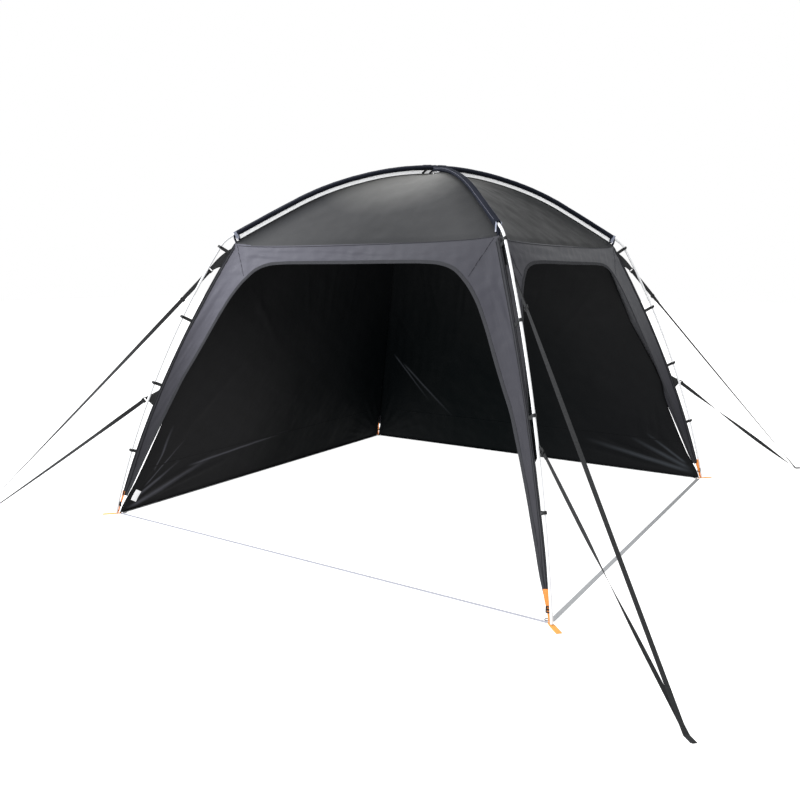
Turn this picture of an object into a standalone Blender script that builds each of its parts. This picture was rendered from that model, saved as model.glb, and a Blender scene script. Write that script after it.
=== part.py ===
"""Camp shelter on a 3 m square: two crossing arched poles over a four-gore roof with arched sides.

Frame: origin on the ground at the centre, +Z up, sides parallel to X and Y. The open sides face -Y (front)
and +X (right); the walls hang on -X (left) and +Y (back). Every corner is drawn once, as the +X+Y corner,
and every side once, as the +Y side, then turned about Z. In a corner's vertical diagonal plane a place is
given by r, its distance from the centre axis, and z, its height.
"""

import math

import bmesh
import bpy
import numpy as np
from mathutils import Vector

# Overall form, metres
FOOT_LINE = 1.495          # half the distance between neighbouring feet
EAVE_HEIGHT = 1.732
CROWN_HEIGHT = 2.265       # top of the pole sleeves
SLEEVE_END = 1.3265        # r where sleeves, roof and bands end
ARC_RADIUS = 2.0           # of the sleeve's top line
ARC_END = 0.9              # r where the top line turns straight
ARC_END_SLOPE = 0.525

# Pole legs and the corner folds of the cover, as cubic Bezier points (r, z)
LEG_LINE = ((1.405, 1.735), (1.72, 1.225), (1.98, 0.60), (2.125, 0.03))
FOLD_LINE = ((1.311, 1.757), (1.645, 1.24), (1.945, 0.62), (2.115, 0.03))
LEG_FOOT = (2.132, 0.0051)
LEG_STEPS = np.linspace(0, 1, 15)

# Side planes, arches and wings
SIDE_FOOT = 1.505          # distance of a side plane from the centre at ground level
SIDE_EAVE = 0.9385         # and at the eave
ARCH_TOP = 1.60
ARCH_FLAT = 0.56           # half width of the straight part of the arch top
DART_TOP = 0.925           # half width of the valance at the eave
DART_HEIGHT = 1.53         # where the seam between valance and wing meets the arch
WING_TIP = 0.135
WING_BOW = 1.3             # how the wing leaves the side plane towards its fold
WING_STEPS = np.array([0.0, 0.4, 0.75, 1.0])  # from inner edge to fold

# Section sizes
CLOTH = 0.002
GAP = 0.0003
POLE_RADIUS = 0.0095
SLEEVE_HALF_WIDTH = 0.027
SLEEVE_HALF_HEIGHT = 0.022
SLEEVE_CLOTH = 0.0015
POLE_OFFSET = 0.0103       # the poles lie high in one sleeve and low in the other
BAND_HALF_WIDTH = 0.003
ROOF_CROWN = 2.201
ROOF_SAG = 0.022
WEB_WIDTH = 0.025
WEB = 0.002
GUY_WEB = 0.0016
GUY_SIDE = 0.0165          # sideways distance of a guy's start from its corner's diagonal plane
GUY_GROUND_SIDE = 0.11     # and of its ground end, to the same hand at every corner

# Guys: height on the fold where the patch starts and ends, tip (r, z), ground end r
GUYS = {
    "upper": {"patch": (1.69, 1.60), "tip": (1.472, 1.583), "ground": 3.055},
    "lower": {"patch": (0.83, 0.70), "tip": (1.915, 0.752), "ground": 3.005},
}
GUY_TAIL = 0.045
CLIP_HEIGHTS = (1.722, 1.310, 0.880, 0.460)
WALL_FOOT = 1.463          # half width of a wall at the ground
WALL_LEAN = 0.36           # half width lost per metre of height
WALL_TOP = 1.712

CORNERS = {"back_right": 0, "back_left": 1, "front_left": 2, "front_right": 3}
SIDES = {"back": 0, "left": 1, "front": 2, "right": 3}
GUY_SIGNS = {"back_right": 1, "back_left": -1, "front_left": -1, "front_right": 1}

ROOF_RADII = np.array([0.02, 0.06, 0.17, 0.29, 0.41, 0.53, 0.65, 0.77, 0.89, 1.01, 1.12, 1.225, SLEEVE_END])

COLOURS = {
    "roof": ((0.075, 0.078, 0.08), 0.75, 0.0),
    "wing": ((0.12, 0.12, 0.135), 0.75, 0.0),
    "wall": ((0.012, 0.013, 0.014), 0.8, 0.0),
    "sleeve": ((0.035, 0.038, 0.045), 0.7, 0.0),
    "band": ((0.80, 0.81, 0.84), 0.6, 0.0),
    "pole": ((0.86, 0.87, 0.88), 0.35, 0.0),
    "webbing": ((0.03, 0.03, 0.032), 0.8, 0.0),
    "grey_webbing": ((0.38, 0.38, 0.39), 0.8, 0.0),
    "orange_webbing": ((0.85, 0.33, 0.06), 0.75, 0.0),
}


def make_material(name):
    """Principled material of one of the COLOURS."""
    known = bpy.data.materials.get(name)
    if known:
        return known
    colour, roughness, metallic = COLOURS[name]
    material = bpy.data.materials.new(name)
    material.use_nodes = True
    shader = material.node_tree.nodes["Principled BSDF"]
    shader.inputs["Base Color"].default_value = (*colour, 1.0)
    shader.inputs["Roughness"].default_value = roughness
    shader.inputs["Metallic"].default_value = metallic
    return material


def new_object(name, data, material, turns=0):
    """Puts data in the scene, turned about Z by quarter turns."""
    thing = bpy.data.objects.new(name, data)
    data.materials.append(make_material(material))
    thing.rotation_euler = (0.0, 0.0, turns * math.pi / 2)
    bpy.context.collection.objects.link(thing)
    return thing


def bezier(points, t):
    """Cubic Bezier in the (r, z) plane, for an array t from 0 to 1."""
    p = np.array(points)
    t = np.asarray(t, float)[..., None]
    return (1 - t) ** 3 * p[0] + 3 * (1 - t) ** 2 * t * p[1] + 3 * (1 - t) * t**2 * p[2] + t**3 * p[3]


def radius_at(points, z):
    """r of a falling Bezier line at height z."""
    line = bezier(points, np.linspace(0, 1, 200))
    return np.interp(z, line[::-1, 1], line[::-1, 0])


def fold_half(z):
    """Distance of the corner fold from each of the two centre planes."""
    return radius_at(FOLD_LINE, z) / math.sqrt(2)


def side_plane(z):
    """Distance of a side plane from the centre at height z."""
    return SIDE_FOOT - (SIDE_FOOT - SIDE_EAVE) / EAVE_HEIGHT * z


def wing_width(z):
    """Width of half a corner wing below the arch."""
    return 0.035 + 0.05 * z + 0.065 * z * z


def sleeve_top(r):
    """Height of the sleeve's top line: an arc, then a straight slope."""
    arc = CROWN_HEIGHT - ARC_RADIUS + np.sqrt(ARC_RADIUS**2 - np.minimum(r, ARC_END) ** 2)
    return arc - ARC_END_SLOPE * np.maximum(r - ARC_END, 0.0)


def ridge_height(r):
    """Height of the roof cloth along the diagonals, from the crown to the eave."""
    fall = CROWN_HEIGHT - sleeve_top(r)
    full = CROWN_HEIGHT - sleeve_top(SLEEVE_END)
    return ROOF_CROWN - fall / full * (ROOF_CROWN - EAVE_HEIGHT - CLOTH)


def plane_normals(line):
    """Outward unit normals of a planar (r, z) line."""
    run = np.gradient(line, axis=0)
    normals = np.stack([-run[:, 1], run[:, 0]], axis=1)
    normals /= np.linalg.norm(normals, axis=1)[:, None]
    return normals


def from_diagonal(r, side, z):
    """World place of (r, sideways, z) in the diagonal plane of the +X+Y corner."""
    r, side, z = np.broadcast_arrays(r, side, z)
    return np.stack([(r - side), (r + side), z * math.sqrt(2)], axis=-1) / math.sqrt(2)


def sheet_solid(name, grid, offsets, material, turns=0, closed=False):
    """Closed solid of a grid of points, made by extruding the sheet by an offset for each point."""
    rows, columns = grid.shape[:2]
    mesh = bmesh.new()
    verts = [mesh.verts.new(point) for point in grid.reshape(-1, 3)]
    for i in range(rows - 1):
        for j in range(columns if closed else columns - 1):
            k = (j + 1) % columns
            mesh.faces.new([verts[a * columns + b] for a, b in ((i, j), (i, k), (i + 1, k), (i + 1, j))])
    bmesh.ops.triangulate(mesh, faces=mesh.faces[:])
    shift = {vert.co.to_tuple(7): Vector(o) for vert, o in zip(verts, offsets.reshape(-1, 3))}
    made = bmesh.ops.extrude_face_region(mesh, geom=mesh.faces[:], use_keep_orig=True)
    for vert in [item for item in made["geom"] if isinstance(item, bmesh.types.BMVert)]:
        vert.co += shift[vert.co.to_tuple(7)]
    bmesh.ops.recalc_face_normals(mesh, faces=mesh.faces[:])
    data = bpy.data.meshes.new(name)
    mesh.to_mesh(data)
    mesh.free()
    return new_object(name, data, material, turns)


def prism(outline, extrusion):
    """Bmesh of a flat outline of 3-D points extruded by a vector."""
    mesh = bmesh.new()
    face = mesh.faces.new([mesh.verts.new(point) for point in outline])
    made = bmesh.ops.extrude_face_region(mesh, geom=[face], use_keep_orig=True)
    moved = [item for item in made["geom"] if isinstance(item, bmesh.types.BMVert)]
    bmesh.ops.translate(mesh, verts=moved, vec=Vector(extrusion))
    bmesh.ops.recalc_face_normals(mesh, faces=mesh.faces[:])
    return mesh


def join_meshes(name, parts):
    """One mesh data block of several bmeshes, which are freed."""
    whole = bmesh.new()
    for part in parts:
        piece = bpy.data.meshes.new("piece")
        part.to_mesh(piece)
        part.free()
        whole.from_mesh(piece)
        bpy.data.meshes.remove(piece)
    data = bpy.data.meshes.new(name)
    whole.to_mesh(data)
    whole.free()
    return data


def unite(thing, parts):
    """Boolean union of thing with separate bmeshes in the same local frame."""
    helper = bpy.data.objects.new(thing.name + "_joined", join_meshes(thing.name + "_joined", parts))
    bpy.context.collection.objects.link(helper)
    helper.rotation_euler = thing.rotation_euler
    helper.hide_render = True
    helper.display_type = "WIRE"
    union = thing.modifiers.new("Joined pieces", "BOOLEAN")
    union.operation = "UNION"
    union.object = helper


def roof_gore(side, turns):
    """One roof gore: ruled across between its two ridges, sagging slightly in the middle."""
    half = (ROOF_RADII / math.sqrt(2))[:, None]
    across = np.linspace(-1, 1, 9)[None, :]
    down = (ROOF_RADII / SLEEVE_END)[:, None]
    x = across * (half - GAP)
    y = np.broadcast_to(half, x.shape)
    z = ridge_height(ROOF_RADII)[:, None] - ROOF_SAG * 4 * down * (1 - down) * (1 - across**2)
    grid = np.stack([x, y, z], axis=-1)
    offsets = np.broadcast_to((0.0, 0.0, -CLOTH), grid.shape)
    sheet_solid(f"roof_{side}", grid, offsets, "roof", turns)


def arch_edge(s):
    """Height of the arch's top edge at distance s from its middle."""
    corner = fold_half(DART_HEIGHT) - wing_width(DART_HEIGHT)
    bend = np.maximum(np.abs(s) - ARCH_FLAT, 0.0) / (corner - ARCH_FLAT)
    return ARCH_TOP - (ARCH_TOP - DART_HEIGHT) * bend**2


def valance(side, turns):
    """Strip between eave and arch, ended by the two slanting seams."""
    corner = fold_half(DART_HEIGHT) - wing_width(DART_HEIGHT)
    across = np.array([-1, -0.93, -0.86, -0.79, -0.73, -0.37, 0, 0.37, 0.73, 0.79, 0.86, 0.93, 1.0])
    low_s = across * (corner - GAP)
    low = np.stack([low_s, arch_edge(low_s)], axis=-1)
    high = np.stack([across * (DART_TOP - GAP), np.full_like(across, EAVE_HEIGHT - GAP)], axis=-1)
    rise = np.linspace(0, 1, 4)[:, None, None]
    flat = low + (high - low) * rise
    grid = np.stack([flat[..., 0], side_plane(flat[..., 1]), flat[..., 1]], axis=-1)
    offsets = np.broadcast_to((0.0, -CLOTH, 0.0), grid.shape)
    sheet_solid(f"valance_{side}", grid, offsets, "wing", turns)


def wing_inner_edge(z):
    """Distance from the side's middle to the wing's inner edge, or to its seam with the valance."""
    seam_end = fold_half(DART_HEIGHT) - wing_width(DART_HEIGHT)
    seam = np.interp(z, (DART_HEIGHT, EAVE_HEIGHT - GAP), (seam_end, DART_TOP))
    return np.where(z < DART_HEIGHT, fold_half(z) - wing_width(z), seam)


def wing_section(z):
    """Half a wing at heights z, from inner edge to fold: distance along the side and out from the centre plane."""
    edge = wing_inner_edge(z)[:, None]
    fold = fold_half(z)[:, None]
    plane = side_plane(z)[:, None]
    return edge + (fold - edge) * WING_STEPS, plane + (fold - plane) * WING_STEPS**WING_BOW


def skin_radius(z, side):
    """r where the wing's skin lies at height z, a sideways distance from the diagonal plane."""
    along, out = wing_section(np.array([z]))
    return float(np.interp(side, (out - along)[0, ::-1] / math.sqrt(2), (out + along)[0, ::-1] / math.sqrt(2)))


def wing_grid():
    """Points and inward offsets of a corner wing, from one inner edge over the fold to the other."""
    z = np.concatenate([np.linspace(EAVE_HEIGHT - GAP, DART_HEIGHT, 4), np.linspace(DART_HEIGHT, WING_TIP, 12)[1:]])
    s, out = wing_section(z)
    height = np.broadcast_to(z[:, None], s.shape)
    back = np.stack([s, out, height], axis=-1)
    right = np.stack([out, s, height], axis=-1)[:, -2::-1]
    grid = np.concatenate([back, right], axis=1)
    offsets = np.zeros_like(grid)
    offsets[:, :4, 1] = -CLOTH
    offsets[:, 3:, 0] = -CLOTH
    return grid, offsets


def guy_frame(kind):
    """Start, direction and across vectors of a guy in the (r, z) plane."""
    start = np.array(GUYS[kind]["tip"])
    end = np.array([GUYS[kind]["ground"], GUY_WEB])
    along = (end - start) / np.linalg.norm(end - start)
    return start, end, along, np.array([-along[1], along[0]])


def guy_patch(kind, sign):
    """Flat tab from the wing's skin to the guy's buckle, beside the pole."""
    start, _, along, across = guy_frame(kind)
    high, low = GUYS[kind]["patch"]
    through = 0.010
    outline = [
        (skin_radius(high, GUY_SIDE) - through, high),
        start + across * WEB_WIDTH / 2,
        start - across * WEB_WIDTH / 2,
        (skin_radius(low, GUY_SIDE) - through, low),
    ]
    near = GUY_SIDE - CLOTH / 2
    points = [from_diagonal(r, sign * near, z) for r, z in outline]
    return prism(points, from_diagonal(0.0, sign * CLOTH, 0.0))


def pole_clip(height):
    """Tongue from the fold to the pole leg, square to the pole."""
    leg = bezier(LEG_LINE, LEG_STEPS)
    i = int(np.argmax(leg[:, 1] < height))
    heading = (leg[i] - leg[i - 1]) / np.linalg.norm(leg[i] - leg[i - 1])
    place = leg[i] + heading * (leg[i, 1] - height) / -heading[1]
    inward = np.array([heading[1], -heading[0]])
    reach = np.linspace(0.0, 0.1, 400)
    places = place + inward * reach[:, None]
    depth = reach[int(np.argmax(places[:, 0] < radius_at(FOLD_LINE, places[:, 1])))] + 0.008
    near, far = place + inward * (POLE_RADIUS + 2 * GAP), place + inward * depth
    up = heading * 0.005
    points = [from_diagonal(p[0], -0.004, p[1]) for p in (near + up, near - up, far - up, far + up)]
    return prism(points, from_diagonal(0.0, 0.008, 0.0))


def corner_wing(corner, turns):
    """V-shaped wing with its two guy tabs and four pole clips."""
    grid, offsets = wing_grid()
    wing = sheet_solid(f"wing_{corner}", grid, offsets, "wing", turns)
    sign = GUY_SIGNS[corner]
    unite(wing, [guy_patch(kind, sign) for kind in GUYS] + [pole_clip(height) for height in CLIP_HEIGHTS])


def sleeve_line():
    """Centre line of a sleeve and its normals, in the (r, z) plane, from near the crown outwards."""
    radii = ROOF_RADII[1:]
    top = np.stack([radii, sleeve_top(radii)], axis=1)
    normals = plane_normals(top)
    return top - normals * SLEEVE_HALF_HEIGHT, normals


def sleeve(corner, turns):
    """Flattened open tube round the roof pole."""
    centre, normals = sleeve_line()
    angle = np.linspace(0, 2 * math.pi, 12, endpoint=False) + math.pi / 2

    def ring(width, height):
        side = np.cos(angle)[None, :] * width
        lift = np.sin(angle)[None, :] * height
        r = centre[:, :1] + normals[:, :1] * lift
        z = centre[:, 1:] + normals[:, 1:] * lift
        return from_diagonal(r, side, z)

    outer = ring(SLEEVE_HALF_WIDTH, SLEEVE_HALF_HEIGHT)
    inner = ring(SLEEVE_HALF_WIDTH - SLEEVE_CLOTH, SLEEVE_HALF_HEIGHT - SLEEVE_CLOTH)
    sheet_solid(f"sleeve_{corner}", outer, inner - outer, "sleeve", turns, closed=True)


def band(corner, turns):
    """Pale upright strip between the roof's ridge and the sleeve."""
    centre, normals = sleeve_line()
    radii = ROOF_RADII[1:]
    low = np.stack([radii, ridge_height(radii) + GAP], axis=1)
    high = centre - normals * (SLEEVE_HALF_HEIGHT + GAP)
    middle = (low + high) / 2
    lines = np.stack([low, middle, high], axis=1)
    grid = from_diagonal(lines[..., 0], -BAND_HALF_WIDTH, lines[..., 1])
    offsets = np.broadcast_to(from_diagonal(0.0, 2 * BAND_HALF_WIDTH, 0.0), grid.shape)
    sheet_solid(f"band_{corner}", grid, offsets, "band", turns)


def tube(name, line, turns):
    """Pole of round section along an (r, z) line in a diagonal plane; r may be negative."""
    curve = bpy.data.curves.new(name, "CURVE")
    curve.dimensions = "3D"
    curve.bevel_depth = POLE_RADIUS
    curve.bevel_resolution = 2
    curve.use_fill_caps = True
    curve.render_resolution_u = 0
    spline = curve.splines.new("POLY")
    spline.points.add(len(line) - 1)
    for point, (r, z) in zip(spline.points, line):
        point.co = (*from_diagonal(r, 0.0, z), 1.0)
    return new_object(name, curve, "pole", turns)


def pole_offset(turns):
    """One pole lies high in its sleeve and the other low, so that they cross at the crown."""
    return POLE_OFFSET if turns % 2 == 0 else -POLE_OFFSET


def pole_arm(turns):
    """Line of a roof pole from near the crown to the elbow."""
    centre, normals = sleeve_line()
    return centre + normals * pole_offset(turns)


def roof_pole(name, turns):
    """Arched pole through two sleeves, from elbow to elbow."""
    arm = pole_arm(turns)
    apex = np.array([[0.0, CROWN_HEIGHT - SLEEVE_HALF_HEIGHT + pole_offset(turns)]])
    tube(name, np.concatenate([arm[::-1] * (-1.0, 1.0), apex, arm]), turns)


def leg_pole(corner, turns):
    """Elbow and leg in one bent tube, from the roof pole's end to the foot."""
    arm = pole_arm(turns)
    heading = (arm[-1] - arm[-2]) / np.linalg.norm(arm[-1] - arm[-2])
    leg = bezier(LEG_LINE, LEG_STEPS)
    down = (leg[1] - leg[0]) / np.linalg.norm(leg[1] - leg[0])
    begin = arm[-1] + heading * 2 * GAP
    elbow = bezier((begin, begin + heading * 0.045, leg[0] - down * 0.035, leg[0]), np.linspace(0, 1, 7))[1:-1]
    tube(f"leg_{corner}", np.concatenate([[begin, begin + heading * 0.004], elbow, leg, [LEG_FOOT]]), turns)


def crown_tie():
    """Patch over the meeting gores, with the loop that holds the lower pole."""
    size, loop = 0.034, 0.010
    patch_bottom = ROOF_CROWN + GAP
    loop_top = CROWN_HEIGHT - SLEEVE_HALF_HEIGHT - POLE_OFFSET - POLE_RADIUS - GAP
    corners = ((-1, -1), (1, -1), (1, 1), (-1, 1))
    patch = [(a * size, b * size, patch_bottom) for a, b in corners]
    data = join_meshes("crown_tie", [prism(patch, (0, 0, CLOTH))])
    tie = new_object("crown_tie", data, "sleeve")
    foot = [(a * loop, b * loop, patch_bottom + CLOTH / 2) for a, b in corners]
    unite(tie, [prism(foot, (0, 0, loop_top - patch_bottom - CLOTH / 2))])


def foot(corner, turns):
    """Orange webbing: pad and peg tab on the ground, strap up to the wing's tip, and its buckle."""
    pad = 0.025
    tab_in, tab_out, tab_half = 2.11, 2.222, 0.0155
    square = [(FOOT_LINE + a * pad, FOOT_LINE + b * pad, 0.0) for a, b in ((-1, -1), (1, -1), (1, 1), (-1, 1))]
    data = join_meshes("foot", [prism(square, (0, 0, WEB))])
    thing = new_object(f"foot_{corner}", data, "orange_webbing", turns)
    tab = [from_diagonal(r, side, 0.0) for r, side in
           ((tab_in, -tab_half), (tab_out, -tab_half), (tab_out, tab_half), (tab_in, tab_half))]
    half = WEB_WIDTH / 2
    strap_r, strap_top = 2.0775, WING_TIP - GAP
    strap = [from_diagonal(strap_r, side, z) for side, z in
             ((-half, WEB / 2), (half, WEB / 2), (half, strap_top), (-half, strap_top))]
    buckle_r, buckle_half, low, high = 2.0755, 0.016, 0.045, 0.068
    buckle = [from_diagonal(buckle_r, side, z) for side, z in
              ((-buckle_half, low), (buckle_half, low), (buckle_half, high), (-buckle_half, high))]
    unite(thing, [prism(tab, (0, 0, WEB))])
    unite(thing, [prism(strap, from_diagonal(WEB, 0.0, 0.0))])
    unite(thing, [prism(buckle, from_diagonal(0.006, 0.0, 0.0))])


def base_strap(side, turns):
    """Webbing on the ground between two feet."""
    length = FOOT_LINE - 0.025 - GAP
    half = WEB_WIDTH / 2
    outline = [(a * length, FOOT_LINE + b * half, 0.0) for a, b in ((-1, -1), (1, -1), (1, 1), (-1, 1))]
    data = join_meshes("base_strap", [prism(outline, (0, 0, WEB))])
    new_object(f"base_strap_{side}", data, "grey_webbing", turns)


def wall(side, turns):
    """Flat wall hung inside an arch, with its edges leaning in towards the top."""
    z = np.linspace(WEB + GAP, WALL_TOP, 7)[:, None]
    across = np.linspace(-1, 1, 8)[None, :]
    x = across * (WALL_FOOT - WALL_LEAN * z)
    y = np.broadcast_to(side_plane(z) - CLOTH - GAP, x.shape)
    grid = np.stack([x, y, np.broadcast_to(z, x.shape)], axis=-1)
    offsets = np.broadcast_to((0.0, -CLOTH, 0.0), grid.shape)
    sheet_solid(f"wall_{side}", grid, offsets, "wall", turns)


def guy(corner, kind, turns):
    """Taut strap from its buckle to its end on the ground, turning from upright to flat on the way."""
    start, end, along, across = guy_frame(kind)
    sign = GUY_SIGNS[corner]
    buckle_long, buckle_half, buckle_thick = 0.022, 0.016, 0.006
    t = np.linspace(0, 1, 11)
    begin = start + along * (GAP + buckle_long / 2)
    line = begin + (end - begin) * t[:, None]
    line = np.concatenate([line, [end + (GUY_TAIL, 0.0)]])
    t = np.concatenate([t, [1.0]])
    twist = t * math.pi / 2
    side = sign * GUY_SIDE * (1 - t) + GUY_GROUND_SIDE * t
    half = WEB_WIDTH / 2
    edges = []
    for way in (-1, 1):
        r = line[:, 0] + way * half * np.cos(twist) * across[0]
        z = line[:, 1] + way * half * np.cos(twist) * across[1]
        edges.append(from_diagonal(r, side + sign * way * half * np.sin(twist), z))
    grid = np.stack(edges, axis=1)
    thick_side = np.cos(twist)[:, None] * sign
    thick_rz = np.sin(twist)[:, None] * -across[None, :]
    thick_rz[-2:] = (0.0, -1.0)
    offsets = from_diagonal(thick_rz[:, 0], thick_side[:, 0], thick_rz[:, 1]) * GUY_WEB
    offsets = np.repeat(offsets[:, None, :], 2, axis=1)
    strap = sheet_solid(f"guy_{kind}_{corner}", grid, offsets, "webbing", turns)
    near, far = start + along * GAP, start + along * (GAP + buckle_long)
    outline = [near + across * buckle_half, far + across * buckle_half,
               far - across * buckle_half, near - across * buckle_half]
    side_near = sign * (GUY_SIDE - buckle_thick / 2)
    points = [from_diagonal(r, side_near, z) for r, z in outline]
    unite(strap, [prism(points, from_diagonal(0.0, sign * buckle_thick, 0.0))])


def build():
    """Removes what is in the scene and makes the shelter."""
    for thing in list(bpy.data.objects):
        bpy.data.objects.remove(thing)
    for side, turns in SIDES.items():
        roof_gore(side, turns)
        valance(side, turns)
        base_strap(side, turns)
    for corner, turns in CORNERS.items():
        corner_wing(corner, turns)
        sleeve(corner, turns)
        band(corner, turns)
        leg_pole(corner, turns)
        foot(corner, turns)
        for kind in GUYS:
            guy(corner, kind, turns)
    roof_pole("roof_pole_back_right_front_left", 0)
    roof_pole("roof_pole_back_left_front_right", 1)
    crown_tie()
    wall("back", SIDES["back"])
    wall("left", SIDES["left"])
    for thing in bpy.data.objects:
        if thing.name.startswith(("sleeve_", "roof_pole", "leg_")) and thing.type == "MESH":
            thing.data.shade_smooth()
            thing.data.set_sharp_from_angle(angle=math.radians(40))


build()
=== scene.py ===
import math

import bmesh
import bpy
import numpy as np
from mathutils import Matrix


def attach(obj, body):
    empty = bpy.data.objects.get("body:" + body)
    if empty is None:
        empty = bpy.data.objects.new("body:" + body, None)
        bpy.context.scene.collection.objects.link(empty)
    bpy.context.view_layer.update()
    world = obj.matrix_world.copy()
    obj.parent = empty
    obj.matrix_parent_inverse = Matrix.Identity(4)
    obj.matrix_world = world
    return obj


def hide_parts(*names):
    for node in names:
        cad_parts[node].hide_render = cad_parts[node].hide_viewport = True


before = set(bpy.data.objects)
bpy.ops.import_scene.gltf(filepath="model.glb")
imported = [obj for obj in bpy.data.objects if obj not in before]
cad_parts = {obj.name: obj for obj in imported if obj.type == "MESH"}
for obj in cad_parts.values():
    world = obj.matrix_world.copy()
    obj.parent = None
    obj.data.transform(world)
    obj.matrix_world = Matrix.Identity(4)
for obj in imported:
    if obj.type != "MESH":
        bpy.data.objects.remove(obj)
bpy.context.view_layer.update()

# Places: drawn once, at the back right corner or on the back side, then turned about Z.
# In a corner's upright diagonal plane a place is r (from the centre axis), side (across the plane) and z.
# On a side it is s (along the side), out (from the centre) and z.
corners = {"back_right": 0, "back_left": 1, "front_left": 2, "front_right": 3}
sides = {"back": 0, "left": 1, "front": 2, "right": 3}
guyHands = {"back_right": 1, "back_left": -1, "front_left": -1, "front_right": 1}

shelter = {
    "eaveHeight": 1.732,
    "cornerHeight": 1.752,  # the eave rises a little towards the roof's corners
    "cornerHalf": 0.9302,
    "crownHeight": 2.265,  # top of the upper pole sleeve
    "cornerReach": 1.3155,  # r of the roof's corners
    "sideFoot": 1.505,  # distance of a side's plane from the centre at the ground
    "sideLean": 0.3271,  # how much nearer it comes for each metre of height
    "foldLine": ((1.311, 1.757), (1.645, 1.24), (1.949, 0.62), (2.121, 0.03)),
    "legLine": ((1.401, 1.735), (1.725, 1.232), (1.992, 0.60), (2.132, 0.03)),
    "wingTip": 0.120,
    # directions: outward from a side's cloth, outward from the back right fold, and inward from the back eave
    "sideOut": np.array([0.0, 0.95, 0.31]),
    "foldOut": np.array([0.69, 0.69, 0.22]),
    "eaveIn": np.array([0.0, -0.64, -0.77]),
}


def turned(points, turns):
    # quarter turns about the centre axis
    c, s = round(math.cos(turns * math.pi / 2)), round(math.sin(turns * math.pi / 2))
    x, y = points[..., 0], points[..., 1]
    return np.stack([c * x - s * y, s * x + c * y, points[..., 2]], axis=-1)


def stacked(a, b, c):
    return np.stack(np.broadcast_arrays(a, b, c), axis=-1).astype(float)


def cornerPlace(r, side, z):
    # the diagonal plane's r and sideways distance, turned 45 degrees into x and y
    r, side, z = np.broadcast_arrays(r, side, z)
    return np.stack([(r - side) / math.sqrt(2), (r + side) / math.sqrt(2), z], axis=-1)


def cornerAt(turns, r, side, z):
    return turned(cornerPlace(r, side, z), turns)


def inPlane(line, turns, side=0.0):
    return cornerAt(turns, line[..., 0], side, line[..., 1])


def travelled(line):
    # distance along a line, at each of its points
    return np.concatenate([[0], np.cumsum(np.linalg.norm(np.diff(line, axis=0), axis=1))])


def cubicLine(points, t):
    # Bezier: the four points weighted by the terms of ((1 - t) + t) cubed
    p = np.array(points, float)
    t = np.asarray(t, float)[..., None]
    return (1 - t) ** 3 * p[0] + 3 * (1 - t) ** 2 * t * p[1] + 3 * (1 - t) * t**2 * p[2] + t**3 * p[3]


def smoothLine(points, steps):
    # curve through all points: each span is a cubic whose end slopes come from the neighbours on both sides
    p = np.array(points, float)
    gone = travelled(p)
    slope = np.gradient(p, gone, axis=0)
    at = np.linspace(0, gone[-1], steps)
    k = np.clip(np.searchsorted(gone, at, side="right") - 1, 0, len(p) - 2)
    span = (gone[k + 1] - gone[k])[:, None]
    t = (at - gone[k])[:, None] / span
    rise = (1 + 2 * t) * (1 - t) ** 2 * p[k] + t * t * (3 - 2 * t) * p[k + 1]
    return rise + span * (t * (1 - t) ** 2 * slope[k] - t * t * (1 - t) * slope[k + 1])


def sidePlane(z):
    return shelter["sideFoot"] - shelter["sideLean"] * z


def foldHalf(z):
    # half the corner fold's distance across the tent: its r at height z, over the root of two
    line = cubicLine(shelter["foldLine"], np.linspace(0, 1, 300))
    return np.interp(z, line[::-1, 1], line[::-1, 0]) / math.sqrt(2)


def eaveLine(s):
    # out and z of the eave: level in the middle, rising to the corners by the fifth power of s
    rise = (np.abs(s) / shelter["cornerHalf"]) ** 5
    middle = sidePlane(shelter["eaveHeight"])
    out = middle + (shelter["cornerHalf"] - middle) * rise
    return out, shelter["eaveHeight"] + (shelter["cornerHeight"] - shelter["eaveHeight"]) * rise


def softWaves(x, y, longX, longY, seed, count=10):
    # sum of sine waves of random slant, length and phase, about longX by longY metres each
    draw = np.random.default_rng(seed)
    total = np.zeros(np.broadcast(x, y).shape)
    for _ in range(count):
        total += np.sin(2 * np.pi * (draw.normal(0, 0.7 / longX) * x + draw.normal(0, 0.7 / longY) * y
                                     + draw.uniform(0, 1)))
    return total / math.sqrt(count)


def waves(x, y, table, seed):
    # soft waves of several sizes, one row (height, length in x, length in y) each
    return sum(height * softWaves(x, y, longX, longY, seed + k) for k, (height, longX, longY) in enumerate(table))


def crease(x, y, start, end, width, height):
    # a ridge along a line: bell across it, rising and falling as a half sine along it
    run = np.array(end, float) - start
    length = np.hypot(*run)
    along = ((x - start[0]) * run[0] + (y - start[1]) * run[1]) / length**2
    away = ((x - start[0]) * run[1] - (y - start[1]) * run[0]) / length
    taper = np.sin(np.pi * np.clip(along, 0, 1)) ** 0.7
    return height * taper * np.exp(-((away / width) ** 2))


# Meshes

def gridFaces(rows, columns, closed=False):
    i, j = np.meshgrid(np.arange(rows - 1), np.arange(columns if closed else columns - 1), indexing="ij")
    k = (j + 1) % columns
    around = [i * columns + j, i * columns + k, (i + 1) * columns + k, (i + 1) * columns + j]
    return np.stack(around, -1).reshape(-1, 4)


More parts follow.
